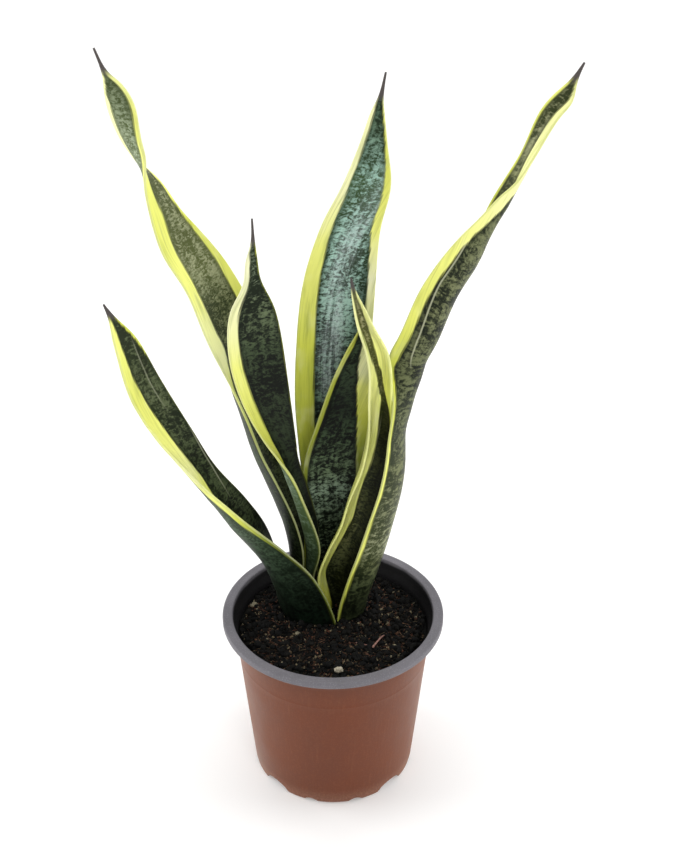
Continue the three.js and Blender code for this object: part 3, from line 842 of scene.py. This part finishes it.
def blade_point(cut, dirs, side, face, grown, seed):
    """A point on the skin, grown outwards by so much; face is 1 outside and -1 inside."""
    along, across, outward, half = dirs
    hollow = cut[2]
    normal = (across * 2 * hollow * side + outward * half).normalized()
    thick = EDGE_THICK + (LEAF_THICK - EDGE_THICK) * (1 - side * side)
    thick *= min(1, (half + 1) / 6)
    slope = math.hypot(half, 2 * hollow)
    round_off = max(0.0, 1 - (1 - abs(side)) * slope / (thick / 2))
    depth = math.sqrt(max(0.0, 1 - round_off ** 2)) * (thick / 2 + grown)
    lift = sum(mm * noise.noise(Vector((side * half / wide, cut[3] / long, seed + shift)))
               for mm, wide, long, shift in WAVES) * min(1.0, half / 10) * (0 if grown else 1)
    return on_section(cut, across * half, outward, side) + normal * (face * depth + lift)


def skin_way(side, half, hollow):
    """The distance along the hollow section from its middle to side, in millimetres."""
    k = 2 * hollow / half
    return half / 2 * (side * math.sqrt(1 + (k * side) ** 2) + math.asinh(k * side) / k)


print("half way round a 30 mm wide section, 8 mm hollow:", round(skin_way(1, 15, 8), 1), "mm")

# %% What each point carries
GROOVE_FADE, NO_GROOVE = 12, 9.0


def groove_gap(name, face, height, from_left):
    """The distance to the nearest groove on this face and its depth, which fades at both ends."""
    nearest, depth = NO_GROOVE, 0.0
    for groove_face, full_depth, line in GROOVES.get(name, ()):
        low, high = line[0][0], line[-1][0]
        gap = from_left - at_height(line, height)
        if groove_face == face and low < height < high and abs(gap) < abs(nearest):
            fade = min(1.0, (height - low) / GROOVE_FADE, (high - height) / GROOVE_FADE)
            nearest, depth = gap, full_depth * fade
    return nearest, depth


def paint_lines(name, face, height, from_left, from_right):
    """The margins, tones and grooves at a point, in the words that the finish reads."""
    skin_side = "outer" if face > 0 else "inner"
    margins, tones = MARGINS[name], TONES_AND_SHADING[name]
    lit = 1.0
    if name in FOLD_SHADE and face < 0:
        inwards = 1 - from_right / at_height(FOLD_SHADE[name], height)
        lit -= FOLD_DEPTH * min(1.0, max(0.0, FOLD_RISE * inwards))
    groove, groove_depth = groove_gap(name, face, height, from_left)
    return {
        "left_band": at_height(margins[skin_side + "_left"], height) - from_left,
        "right_band": at_height(margins[skin_side + "_right"], height) - from_right,
        "dark_tone": lit * at_height([row[:2] for row in tones[skin_side]], height),
        "pale_tone": lit * at_height([row[::2] for row in tones[skin_side]], height),
        "left_tone": at_height(tones["left"], height),
        "right_tone": at_height(tones["right"], height),
        "warmth": tones["warmth"][face > 0],
        "from_left": from_left, "from_right": from_right,
        "groove": groove, "groove_depth": groove_depth}


print("words on each point:", sorted(paint_lines("centre_tall", 1, 200, 5, 30)))

# %% Blade builder
FACE_STEPS = 34
BLADE_SEAM = 0.00002


def seed_of(name):
    """A number that gives each leaf its own noise."""
    return sum(map(ord, name)) % 50


def blade(name, grown=0.0, top=math.inf):
    """The skin of one blade as a bmesh, up to the height top, with its paint lines."""
    cuts = [cut for cut in stations(BLADES[name]) if middle_height(cut) < top]
    seed = seed_of(name)
    rounds, steps = 2 * FACE_STEPS, len(cuts) - 1
    bm = bmesh.new()
    bmesh.ops.create_grid(bm, x_segments=rounds, y_segments=steps, size=0.5)
    keys = ["along"] + list(paint_lines(name, 1, 0, 0, 0))
    layers = {key: bm.verts.layers.float.new(key) for key in keys}
    frames = [section_frame(cuts, k) for k in range(len(cuts))]
    for vert in bm.verts:
        way = round((vert.co.x + 0.5) * rounds)
        k = round((vert.co.y + 0.5) * steps)
        face = 1 if way < FACE_STEPS else -1
        turn = (way if way <= FACE_STEPS else rounds - way) / FACE_STEPS
        side = math.sin((2 * turn - 1) * math.pi / 2)
        cut, half = cuts[k], frames[k][3]
        point = blade_point(cut, frames[k], side, face, grown, seed)
        if k == 0:
            point += frames[0][0] * ((FOOT - grown - point.z) / frames[0][0].z)
        vert.co = point * MM
        reach = skin_way(1.0, half, cut[2])
        from_left = reach + skin_way(side, half, cut[2])
        vert[layers["along"]] = cut[3]
        words = paint_lines(name, face, middle_height(cut), from_left, 2 * reach - from_left)
        for key, value in words.items():
            vert[layers[key]] = value
    bmesh.ops.remove_doubles(bm, verts=bm.verts, dist=BLADE_SEAM)
    bmesh.ops.holes_fill(bm, edges=[e for e in bm.edges if e.is_boundary], sides=0)
    bmesh.ops.recalc_face_normals(bm, faces=bm.faces)
    return bm


trial = blade("centre_tall")
print("centre_tall skin:", len(trial.faces), "faces, open edges", open_edges(trial))
trial.free()

# %% [markdown]
# ### Painting a leaf
# The pattern follows the blade, so it reads what is stored on the points: how far a spot is inside
# each yellow margin, how far from either edge, how far along the blade, and the tones. The dark
# green is broken by pale blotches that stretch across the leaf, finer flecks among them, slow
# clouds that make some stretches paler, and faint lengthwise streaks. On some leaves the blotches
# are coarser. They thin out beside the margins.

# %% Mottled green
USUAL_BLOTCH = 1.25
BLOTCHES = {"right_tall": 1.8, "centre_short": 1.5, "left_tall": 0.9}


def leaf_grains(tree, on_leaf, size):
    """The noises of a leaf, and the mottle that they add up to. Sizes are in millimetres."""
    made = {"bands": grain(tree, on_leaf, (4.4 * size, 2.5 * size, 1), detail=4.0, twist=1.6),
            "flecks": grain(tree, on_leaf, (1.6, 1.3, 1), rough=0.6, twist=0.8),
            "clouds": grain(tree, on_leaf, (20.0, 26.0, 1), detail=2.0),
            "lengthwise": grain(tree, on_leaf, (2.4, 40.0, 1), detail=2.0)}
    shares = zip(made.values(), (0.46, 0.28, 0.22, 0.18))
    made["mottle"] = plus(tree, *(times(tree, noises, share) for noises, share in shares))
    return made


def mottled(tree, mottle, dark, light):
    """Dark green with pale blotches."""
    spots = between(tree, mottle, 0.51, 0.66)
    nearest = sums(tree, "MAXIMUM", read(tree, "left_band"), read(tree, "right_band"))
    return mix(tree, times(tree, spots, between(tree, nearest, -0.5, -3.2, 0.3, 1.0)), dark, light)


print("coarser or finer than usual:", BLOTCHES)

# %% [markdown]
# The tall leaf in the centre carries a painted sheen down its middle: a pale, bluish streak of
# painted reflection where its waxy skin mirrors the bright floor, streaked along the leaf, with
# darker flanks beside it. Where a leaf is creased it shows a groove: a fine pale line with a
# painted dark shadow beside it.

# %% Bloom and grooves
# A sheen streak is painted reflection. It gives the lowest and highest place, the distance from the
# left edge and half the width in millimetres, and its strength.
SHEEN_STREAKS = {"centre_tall": (196, 345, 19.0, 10.0, 0.65)}
STREAK_START, STREAK_END = 22, 40
STREAK_PAINT = paint(212, 228, 228)
GROOVE_PAINT, GROOVE_SHADOW = paint(214, 214, 186), paint(26, 26, 14)


def with_sheen_streak(tree, green, dark, grains, sheen_streak, height, from_left):
    """Adds darker flanks and, between them, the painted sheen streak, a pale painted reflection."""
    low, high, centre, half, strength = sheen_streak
    reach = times(tree, between(tree, height, low * MM, (low + STREAK_START) * MM),
                  between(tree, height, high * MM, (high - STREAK_END) * MM))
    off = sums(tree, "ABSOLUTE", sums(tree, "SUBTRACT", from_left, centre))
    flank = times(tree, reach, between(tree, off, half * 0.75, half * 1.25, 0, 0.6))
    streak_amount = times(tree, reach, between(tree, off, half, 0.0),
                between(tree, grains["lengthwise"], 0.36, 0.66, 0.25, 1.0),
                between(tree, grains["flecks"], 0.34, 0.64, 0.35, 1.0), strength)
    return mix(tree, streak_amount, mix(tree, flank, green, dark), STREAK_PAINT)


def with_grooves(tree, green, light):
    """Draws the pale line and the shadow of each groove, as deep as the points say."""
    groove, depth = read(tree, "groove"), read(tree, "groove_depth")
    pale = between(tree, sums(tree, "ABSOLUTE", groove), 0.6, 0.15, 0, 0.85)
    beside = sums(tree, "ABSOLUTE", sums(tree, "SUBTRACT", groove, 1.1))
    shadow = between(tree, beside, 1.0, 0.1, 0, 0.5)
    green = mix(tree, times(tree, shadow, depth), green, GROOVE_SHADOW)
    return mix(tree, times(tree, pale, depth), green, mix(tree, 0.5, light, GROOVE_PAINT))


print("leaves with bloom:", list(SHEEN_STREAKS))

# %% [markdown]
# The yellow margins aren't even. They have fine greenish streaks along the leaf, a pale blush here
# and there and greener patches, and their border towards the green is ragged, with a narrow
# greenish strip. Along the very edge runs a hair-thin pale line.

# %% Margins and rims
RAGGED_MM = 2.4
MARGIN_GRAINS = (  # (sizes, detail, from, to, most, paint)
    ((0.8, 34.0, 1), 3.0, 0.5, 0.74, 0.6, (112, 128, 44)),
    ((8.0, 18.0, 1), 2.0, 0.5, 0.8, 0.42, (250, 250, 220)),
    ((4.5, 30.0, 3), 2.0, 0.46, 0.7, 0.5, (112, 132, 34)))


def with_margins(tree, green, dark, on_leaf):
    """Lays both yellow margins over the green."""
    ragged = sums(tree, "SUBTRACT", grain(tree, on_leaf, (1.1, 24.0, 1)), 0.5)
    ragged = times(tree, ragged, RAGGED_MM)
    strewn = [(between(tree, grain(tree, on_leaf, sizes, detail), low, high, 0, most), paint(*tone))
              for sizes, detail, low, high, most, tone in MARGIN_GRAINS]
    for key in ("left", "right"):
        inside = plus(tree, read(tree, key + "_band"), ragged)
        yellow = ramp(tree, read(tree, key + "_tone"), YELLOWS)
        for amount, tone in strewn:
            yellow = mix(tree, amount, yellow, mix(tree, 0.55, yellow, tone))
        greenish = mix(tree, 0.55, yellow, dark)
        green = mix(tree, between(tree, inside, -0.9, -0.1, 0, 0.6), green, greenish)
        green = mix(tree, between(tree, inside, -0.25, 0.35), green, yellow)
    return green


def with_rims(tree, green, height, gaps, strengths):
    """Draws the pale line along both edges, fading towards the soil."""
    fading = between(tree, height, 0.085, 0.15, 0.3, 1.0)
    for gap, strength in zip(gaps, strengths):
        rim = times(tree, between(tree, gap, 0.8, 0.2, 0, strength), fading)
        pale = mix(tree, 0.5, ramp(tree, read(tree, "left_tone"), YELLOWS), paint(206, 210, 168))
        green = mix(tree, rim, green, pale)
    return green


print("margin grains:", len(MARGIN_GRAINS))

# %% [markdown]
# The tip dries to a brown needle. The leaf is waxy but not glossy, a little duller where it is
# pale, and fine ridges run along it.

# %% Leaf finish
NEEDLE_PAINT = paint(84, 78, 76)
COOL, WARM = (0.72, 1.0, 1.25, 1.0), (1.30, 1.0, 0.80, 1.0)


def leaf_finish(name):
    """The finish of one blade, painted from its own point attributes."""
    finish, tree, shader = new_finish("leaf_" + name)
    gaps = read(tree, "from_left"), read(tree, "from_right")
    on_leaf = add(tree, "ShaderNodeCombineXYZ",
                  {0: gaps[0], 1: read(tree, "along"), 2: seed_of(name)}).outputs[0]
    height = height_of(tree)
    tint = mix(tree, between(tree, read(tree, "warmth"), -1, 1), COOL, WARM)
    dark = mix(tree, 1.0, ramp(tree, read(tree, "dark_tone"), DARK_GREENS), tint, "MULTIPLY")
    light = mix(tree, 1.0, ramp(tree, read(tree, "pale_tone"), PALE_GREENS), tint, "MULTIPLY")

    grains = leaf_grains(tree, on_leaf, BLOTCHES.get(name, USUAL_BLOTCH))
    green = mottled(tree, grains["mottle"], dark, light)
    if name in SHEEN_STREAKS:
        green = with_sheen_streak(tree, green, dark, grains, SHEEN_STREAKS[name], height, gaps[0])
    veins = grain(tree, on_leaf, (0.9, 60.0, 1), detail=2.0)
    green = mix(tree, between(tree, veins, 0.52, 0.8, 0, 0.35), green, dark)
    green = with_grooves(tree, green, light)
    green = with_margins(tree, green, dark, on_leaf)
    green = with_rims(tree, green, height, gaps, EDGE_LINES[name])
    needle = BLADES[name][-2][2]
    dried = between(tree, height, (needle - 3) * MM, (needle + 2) * MM)
    feed(tree, shader, {
        "Base Color": mix(tree, dried, green, NEEDLE_PAINT),
        "Roughness": between(tree, grains["mottle"], 0.4, 0.75, 0.40, 0.54),
        "Specular IOR Level": 0.14})
    ridges = times(tree, grain(tree, on_leaf, (0.7, 45.0, 1)), 0.7)
    relief(tree, shader, plus(tree, ridges, times(tree, grains["flecks"], 0.25)), 0.00022, 0.55)
    return finish


# %% Make the seven leaves
for name in BLADES:
    finished(blade(name), "blade_" + name, [leaf_finish(name)], "leaf", "leaf_" + name)

# %% [markdown]
# ## The soil
# The pot is filled with dark peat: a crumbly mass with a slightly crowned, uneven top. The mass is
# a spun profile whose top is pushed up and down by noise.

# %% Soil body
SOIL_STEPS = 300
SOIL_FLOOR, SOIL_EDGE = 1.6, 51.4
RINGS = 48


def soil_top(radius):
    """The height of the smooth top at a distance from the axis."""
    return at_height([(0, 91.0), (30, 90.2), (43, 89.3), (51.6, 88.4)], radius)


def soil_height(x, y):
    """The height of the real, uneven top, which is smooth at the pot's wall."""
    lumps = noise.noise(Vector((x / 11, y / 11, 3.1))) * 1.1
    lumps += (noise.noise(Vector((x / 4.2, y / 4.2, 8.4))) * 0.8
              + noise.noise(Vector((x / 1.7, y / 1.7, 1.7))) * 0.4)
    radius = math.hypot(x, y)
    return soil_top(radius) + lumps * min(1.0, max(0.0, (51.9 - radius) / 2.0))


def soil_wall(z):
    """The radius of the soil at a height, a hair inside the pot's wall."""
    return 43.5 + WALL_SLOPE * (z - SOIL_FLOOR)


soil_line = [(r, SOIL_FLOOR) for r in (0.0, 20.0, 31.0, 32.0, 38.0, 39.0, 42.6)]
soil_line += [(soil_wall(z), z) for z in (2.4, 4.0, 5.5, 7.0, 8.5, 20, 40, 60, 80, 87.6)]
across_top = [SOIL_EDGE - SOIL_EDGE * i / RINGS for i in range(RINGS + 1)]
soil = spun(soil_line + [(r, soil_top(r)) for r in across_top], SOIL_STEPS)
for vert in soil.verts:
    x, y, z = (c / MM for c in vert.co)
    lift = arch_height(x, y)
    if z > 88 and math.hypot(x, y) < 51.5:
        vert.co.z = soil_height(x, y) * MM
    elif lift and z < ARCH_ZONE + 1:
        vert.co.z = max(z, lift + WALL + 0.4) * MM
print("soil body:", len(soil.faces), "faces, open edges", open_edges(soil))

# %% [markdown]
# ### Pockets for the leaves
# The blades go on down into the soil, so the soil has a pocket for each of them. The same blade
# builder makes a slightly fatter foot for each leaf, and that shape is taken out of the soil while
# it is still one plain body, before any crumb lies on it.

# %% Cut the pockets
POCKET_ROOM, POCKET_TOP = 0.4, 112
BARE_SOIL_TINT = 0.06
block = as_object(soil, "soil_block")
for name in BLADES:
    foot = as_object(blade(name, grown=POCKET_ROOM, top=POCKET_TOP), "foot")
    print("pocket for", name, "leaves", cut_with(block, foot), "faces")
soil = bmesh.new()
soil.from_mesh(block.data)
bpy.data.objects.remove(block)
for kind in (soil.verts.layers.float, soil.verts.layers.int):
    for layer in list(kind.values()):
        kind.remove(layer)
tint = soil.verts.layers.float.new("tint")
for vert in soil.verts:
    vert[tint] = BARE_SOIL_TINT
print("open edges on the soil:", open_edges(soil))

# %% [markdown]
# ### Crumbs and fibres
# On the mass lie thousands of separate crumbs, and reddish-brown fibres. Each crumb is a small,
# squashed icosphere of twenty faces, so that there can be many of them. Every crumb and fibre
# carries a number, its tint, which the finish turns into a colour.

# %% Free places on the soil
random.seed(41)
leaf_cuts = [cut for rows in BLADES.values() for cut in stations(rows)
             if 86 < middle_height(cut) < 95]


def in_a_leaf(x, y, clear):
    """True where a blade stands in the soil, within clear of its middle curve."""
    for cut in leaf_cuts[::2]:
        across = cut[1] - cut[0]
        outward = Vector((0, 0, 1)).cross(across).normalized()
        for i in range(9):
            spot = on_section(cut, across / 2, outward, i / 4 - 1)
            if math.hypot(spot.x - x, spot.y - y) < clear:
                return True
    return False


def scattered(count, reach=50.3, clear=2.0):
    """Random places on the soil that no blade takes up."""
    while count:
        radius, turn = reach * math.sqrt(random.random()), random.uniform(0, math.tau)
        x, y = radius * math.cos(turn), radius * math.sin(turn)
        if not in_a_leaf(x, y, clear):
            count -= 1
            yield x, y


def strew(places, size, make):
    """Adds what make builds to the soil in batches, since a big bmesh grows slowly."""
    for start in range(0, len(places), size):
        batch = make(places[start:start + size])
        soil.from_mesh(batch)
        bpy.data.meshes.remove(batch)


print(len(leaf_cuts), "sections of blades at the soil's top")

# %% Crumbs
CRUMBS = 5600
CRUMB_SIZES = (0.25, 0.35, 0.4, 0.5, 0.6, 0.75, 0.95, 1.5)
CRUMB_SHADES = (0.0, 0.0, 0.1, 0.4, 0.58, 0.66, 0.74, 0.84)
PALE_SHARE = 0.08


def crumb_batch(places):
    """A mesh of crumbs, each a jittered and squashed icosphere with its own tint."""
    bm = bmesh.new()
    tint = bm.verts.layers.float.new("tint")
    for x, y in places:
        size = random.choice(CRUMB_SIZES)
        shape = Matrix.Diagonal((*(size * random.uniform(0.5, 1.8) for _ in range(2)),
                                 size * random.uniform(0.5, 1.0), 1))
        turn = Matrix.Rotation(random.uniform(0, math.tau), 4, random.choice("XYZ"))
        spin = Matrix.Rotation(random.uniform(0, math.tau), 4, "Z")
        place = Matrix.Translation((x, y, soil_height(x, y) + size * random.uniform(-0.3, 0.9)))
        made = bmesh.ops.create_icosphere(bm, subdivisions=1, radius=1.0,
                                          matrix=Matrix.Scale(MM, 4) @ place @ spin @ turn @ shape)
        shade = random.choice(CRUMB_SHADES) + random.uniform(-0.05, 0.05)
        shade = 0.5 * shade if size > 0.9 else shade
        if random.random() < PALE_SHARE and size < 0.8:
            shade = random.uniform(0.84, 0.97)
        for vert in made["verts"]:
            vert[tint] = shade
            vert.co += Vector([random.uniform(-0.28, 0.28) * size * MM for _ in range(3)])
    return as_mesh(bm, "crumbs")


strew(list(scattered(CRUMBS)), 120, crumb_batch)
print("with crumbs:", len(soil.faces), "faces")

# %% Fibres
FIBRES, FIBRE_SEAM = 760, 0.000004
FIBRE_SHADES = (0.6, 0.64, 0.7, 0.74, 0.78, 0.84)


def fibre_batch(places):
    """A mesh of thin, bent fibres lying on the soil, each a grid rolled into a pointed rod."""
    bm = bmesh.new()
    tint = bm.verts.layers.float.new("tint")
    for x, y in places:
        length, thick = random.uniform(2.0, 7.5), random.uniform(0.1, 0.24)
        bend, tilt = random.uniform(-0.12, 0.12), random.uniform(-0.15, 0.3)
        made = bmesh.ops.create_grid(bm, x_segments=6, y_segments=4, size=0.5)
        heading = random.uniform(0, math.tau)
        shade = random.choice(FIBRE_SHADES)
        low = soil_height(x, y) + 0.45
        for vert in made["verts"]:
            along, round_way = vert.co.x * length, (vert.co.y + 0.5) * math.tau
            radius = thick * (1 - abs(vert.co.x) * 1.6)
            sideways = radius * math.cos(round_way) + bend * along * along
            vert.co = Vector((x + along * math.cos(heading) - sideways * math.sin(heading),
                              y + along * math.sin(heading) + sideways * math.cos(heading),
                              low + radius * math.sin(round_way) + along * tilt * 0.5)) * MM
            vert[tint] = shade
    close_up(bm, FIBRE_SEAM)
    return as_mesh(bm, "fibres")


strew(list(scattered(FIBRES, reach=47.0, clear=4.0)), 60, fibre_batch)
print("with fibres:", len(soil.faces), "faces")

# %% [markdown]
# ### Peat
# One finish paints the whole soil. The tint picks a colour on a ramp from black peat over
# reddish-brown bark to a few pale grains. Fine noise breaks up every colour, slow noise leaves some
# places blacker, and the surface is dull and rough.

# %% Peat finish
PEAT = [(0.05, (2, 2, 1)), (0.25, (5, 5, 3)), (0.45, (18, 16, 10)), (0.6, (70, 58, 42)),
        (0.74, (112, 70, 54)), (0.85, (124, 112, 86)), (1.0, (172, 162, 134))]
peat, tree, shader = new_finish("dark_peat")
place = object_place(tree)
tint = read(tree, "tint")
fine = grain(tree, place, 0.0006, rough=0.7)
coarse = grain(tree, place, 0.004)
pick = plus(tree, tint, times(tree, sums(tree, "SUBTRACT", fine, 0.5), 0.28))
damp = between(tree, coarse, 0.4, 0.65, 0.55, 0)
feed(tree, shader, {"Base Color": mix(tree, damp, ramp(tree, pick, PEAT), paint(5, 5, 4)),
                    "Roughness": 0.8, "Specular IOR Level": 0.2})
relief(tree, shader, fine, 0.0005)

# %% Finish the soil
finished(soil, "peat", [peat], "soil", "potting_soil")

# %% [markdown]
# ## Loose pieces on the soil
# A few pieces lie apart from the rest: one pale grit grain near the front rim, two pale chips, and
# two short twigs. They are small but easy to see against the dark peat, so each is its own piece.
# Grit is a broken stone, so an icosphere is squashed and its points are pushed about by noise.

# %% Speckled finishes
def speckled(name, sizes, stops, dullness, depth, detail=3.0, rough=0.55):
    """Dull, finely speckled matter, with grains of the given sizes in metres."""
    finish, tree, shader = new_finish(name)
    spots = grain(tree, object_place(tree), sizes, detail, rough)
    feed(tree, shader, {"Base Color": ramp(tree, spots, stops), "Roughness": dullness})
    relief(tree, shader, spots, depth, 0.8)
    return finish


GRIT = {"sizes": 0.0011, "dullness": 0.85, "depth": 0.0003, "detail": 4.0,
        "rough": 0.7}
pale_grit = speckled("pale_grit", stops=[(0.35, (122, 114, 94)), (0.62, (184, 176, 156))], **GRIT)
dull_chip = speckled("dull_chip", stops=[(0.35, (84, 78, 62)), (0.62, (142, 134, 110))], **GRIT)
bark = speckled("twig_bark", 0.0005,
                [(0.35, (92, 56, 50)), (0.65, (172, 130, 116))], 0.75, 0.0002)
rhizome = speckled("rhizome_skin", (0.012, 0.012, 0.0022),
                   [(0.35, (150, 96, 50)), (0.65, (206, 160, 104))], 0.7, 0.0006, 4.0, 0.6)
print("speckled finishes:", [finish.name for finish in (pale_grit, dull_chip, bark, rhizome)])

# %% Grit and chips
def stone(piece_name, node, centre, size, turn, finish, seed):
    """A broken grain of the given size, its corners softened by noise."""
    bm = bmesh.new()
    bmesh.ops.create_icosphere(bm, subdivisions=4, radius=0.5)
    for vert in bm.verts:
        way = vert.co.normalized()
        cells = noise.cell_vector(way * 1.6 + Vector((seed, 0, 0)))
        push = (noise.noise(way * 1.7 + Vector((seed, 4, 0))) * 0.22
                + noise.noise(way * 5 + Vector((0, seed, 2))) * 0.06)
        vert.co *= 1 + push + 0.02 * cells.x
    box = [max(abs(v.co[i]) for v in bm.verts) * 2 for i in range(3)]
    place = Matrix.Translation(Vector(centre) * MM) @ Matrix.Rotation(math.radians(turn), 4, "Z")
    scale = Matrix.Diagonal((*(size[i] * MM / box[i] for i in range(3)), 1))
    bmesh.ops.transform(bm, matrix=place @ scale, verts=bm.verts)
    finished(bm, piece_name, [finish], "pale_grit", node)


stone("grain_front", "pale_grain_front", (3, -40, 92.1), (5, 4, 3.4), 12, pale_grit, 3.3)
stone("chip_left", "pale_chip_left", (-44.5, 17, 90.2), (5, 3.4, 2.0), 35, dull_chip, 7.9)
stone("chip_middle", "pale_chip_middle", (-19, -10, 91.6), (3.4, 2.4, 2.0), -30, dull_chip, 5.2)

# %% [markdown]
# A twig is a thin tapering rod with slight bends and knots. A grid with many rings along it is
# rolled into the rod: noise moves each ring sideways, and a swelling now and then gives the knots.

# %% Twigs
# A twig is rolled in millimetres, so its seam is one too.
RINGS_ALONG, SIDES, TWIG_SEAM = 28, 12, 0.001


def twig(piece_name, node, length, thick, turn, seed):
    """A bent, knotted rod lying flat in the middle of its part's box."""
    bm = bmesh.new()
    bmesh.ops.create_grid(bm, x_segments=RINGS_ALONG, y_segments=SIDES, size=0.5)
    for vert in bm.verts:
        along, round_way = vert.co.x, (vert.co.y + 0.5) * math.tau
        swelling = max(0.0, noise.noise(Vector((along * 7, seed, 0))))
        knot = 1 + 0.35 * swelling - 0.35 * (along + 0.5)
        closing = math.sqrt(max(0.0, 1 - abs(2 * along) ** 14))
        radius = thick / 2 * knot * closing
        sway = noise.noise(Vector((along * 2.2, seed, 5))) * thick * 1.1
        vert.co = Vector((along * length, sway + radius * math.cos(round_way),
                          radius * math.sin(round_way)))
    close_up(bm, TWIG_SEAM)
    low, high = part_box(node)
    centre = [(a + b) / 2 / MM for a, b in zip(low, high)]
    place = Matrix.Scale(MM, 4) @ Matrix.Translation(centre)
    place = place @ Matrix.Rotation(math.radians(turn), 4, "Z")
    bmesh.ops.transform(bm, matrix=place, verts=bm.verts)
    finished(bm, piece_name, [bark], "twig", node)


twig("twig_long", "twig_right_long", 12.5, 1.1, 53, 2.4)
twig("twig_short", "twig_right_short", 8.0, 0.9, -20, 6.1)

# %% [markdown]
# ## The stub under the soil
# The leaves grow from a short, thick underground stem with stubby roots. It stays as the packed
# model has it, hidden in the soil, and gets the pale, papery orange-brown of a living rhizome.

# %% Rhizome
for holder in frame["nodes"]["stem_stub_with_roots"].material_slots:
    holder.material = rhizome
print("the stub's finish:", rhizome.name)
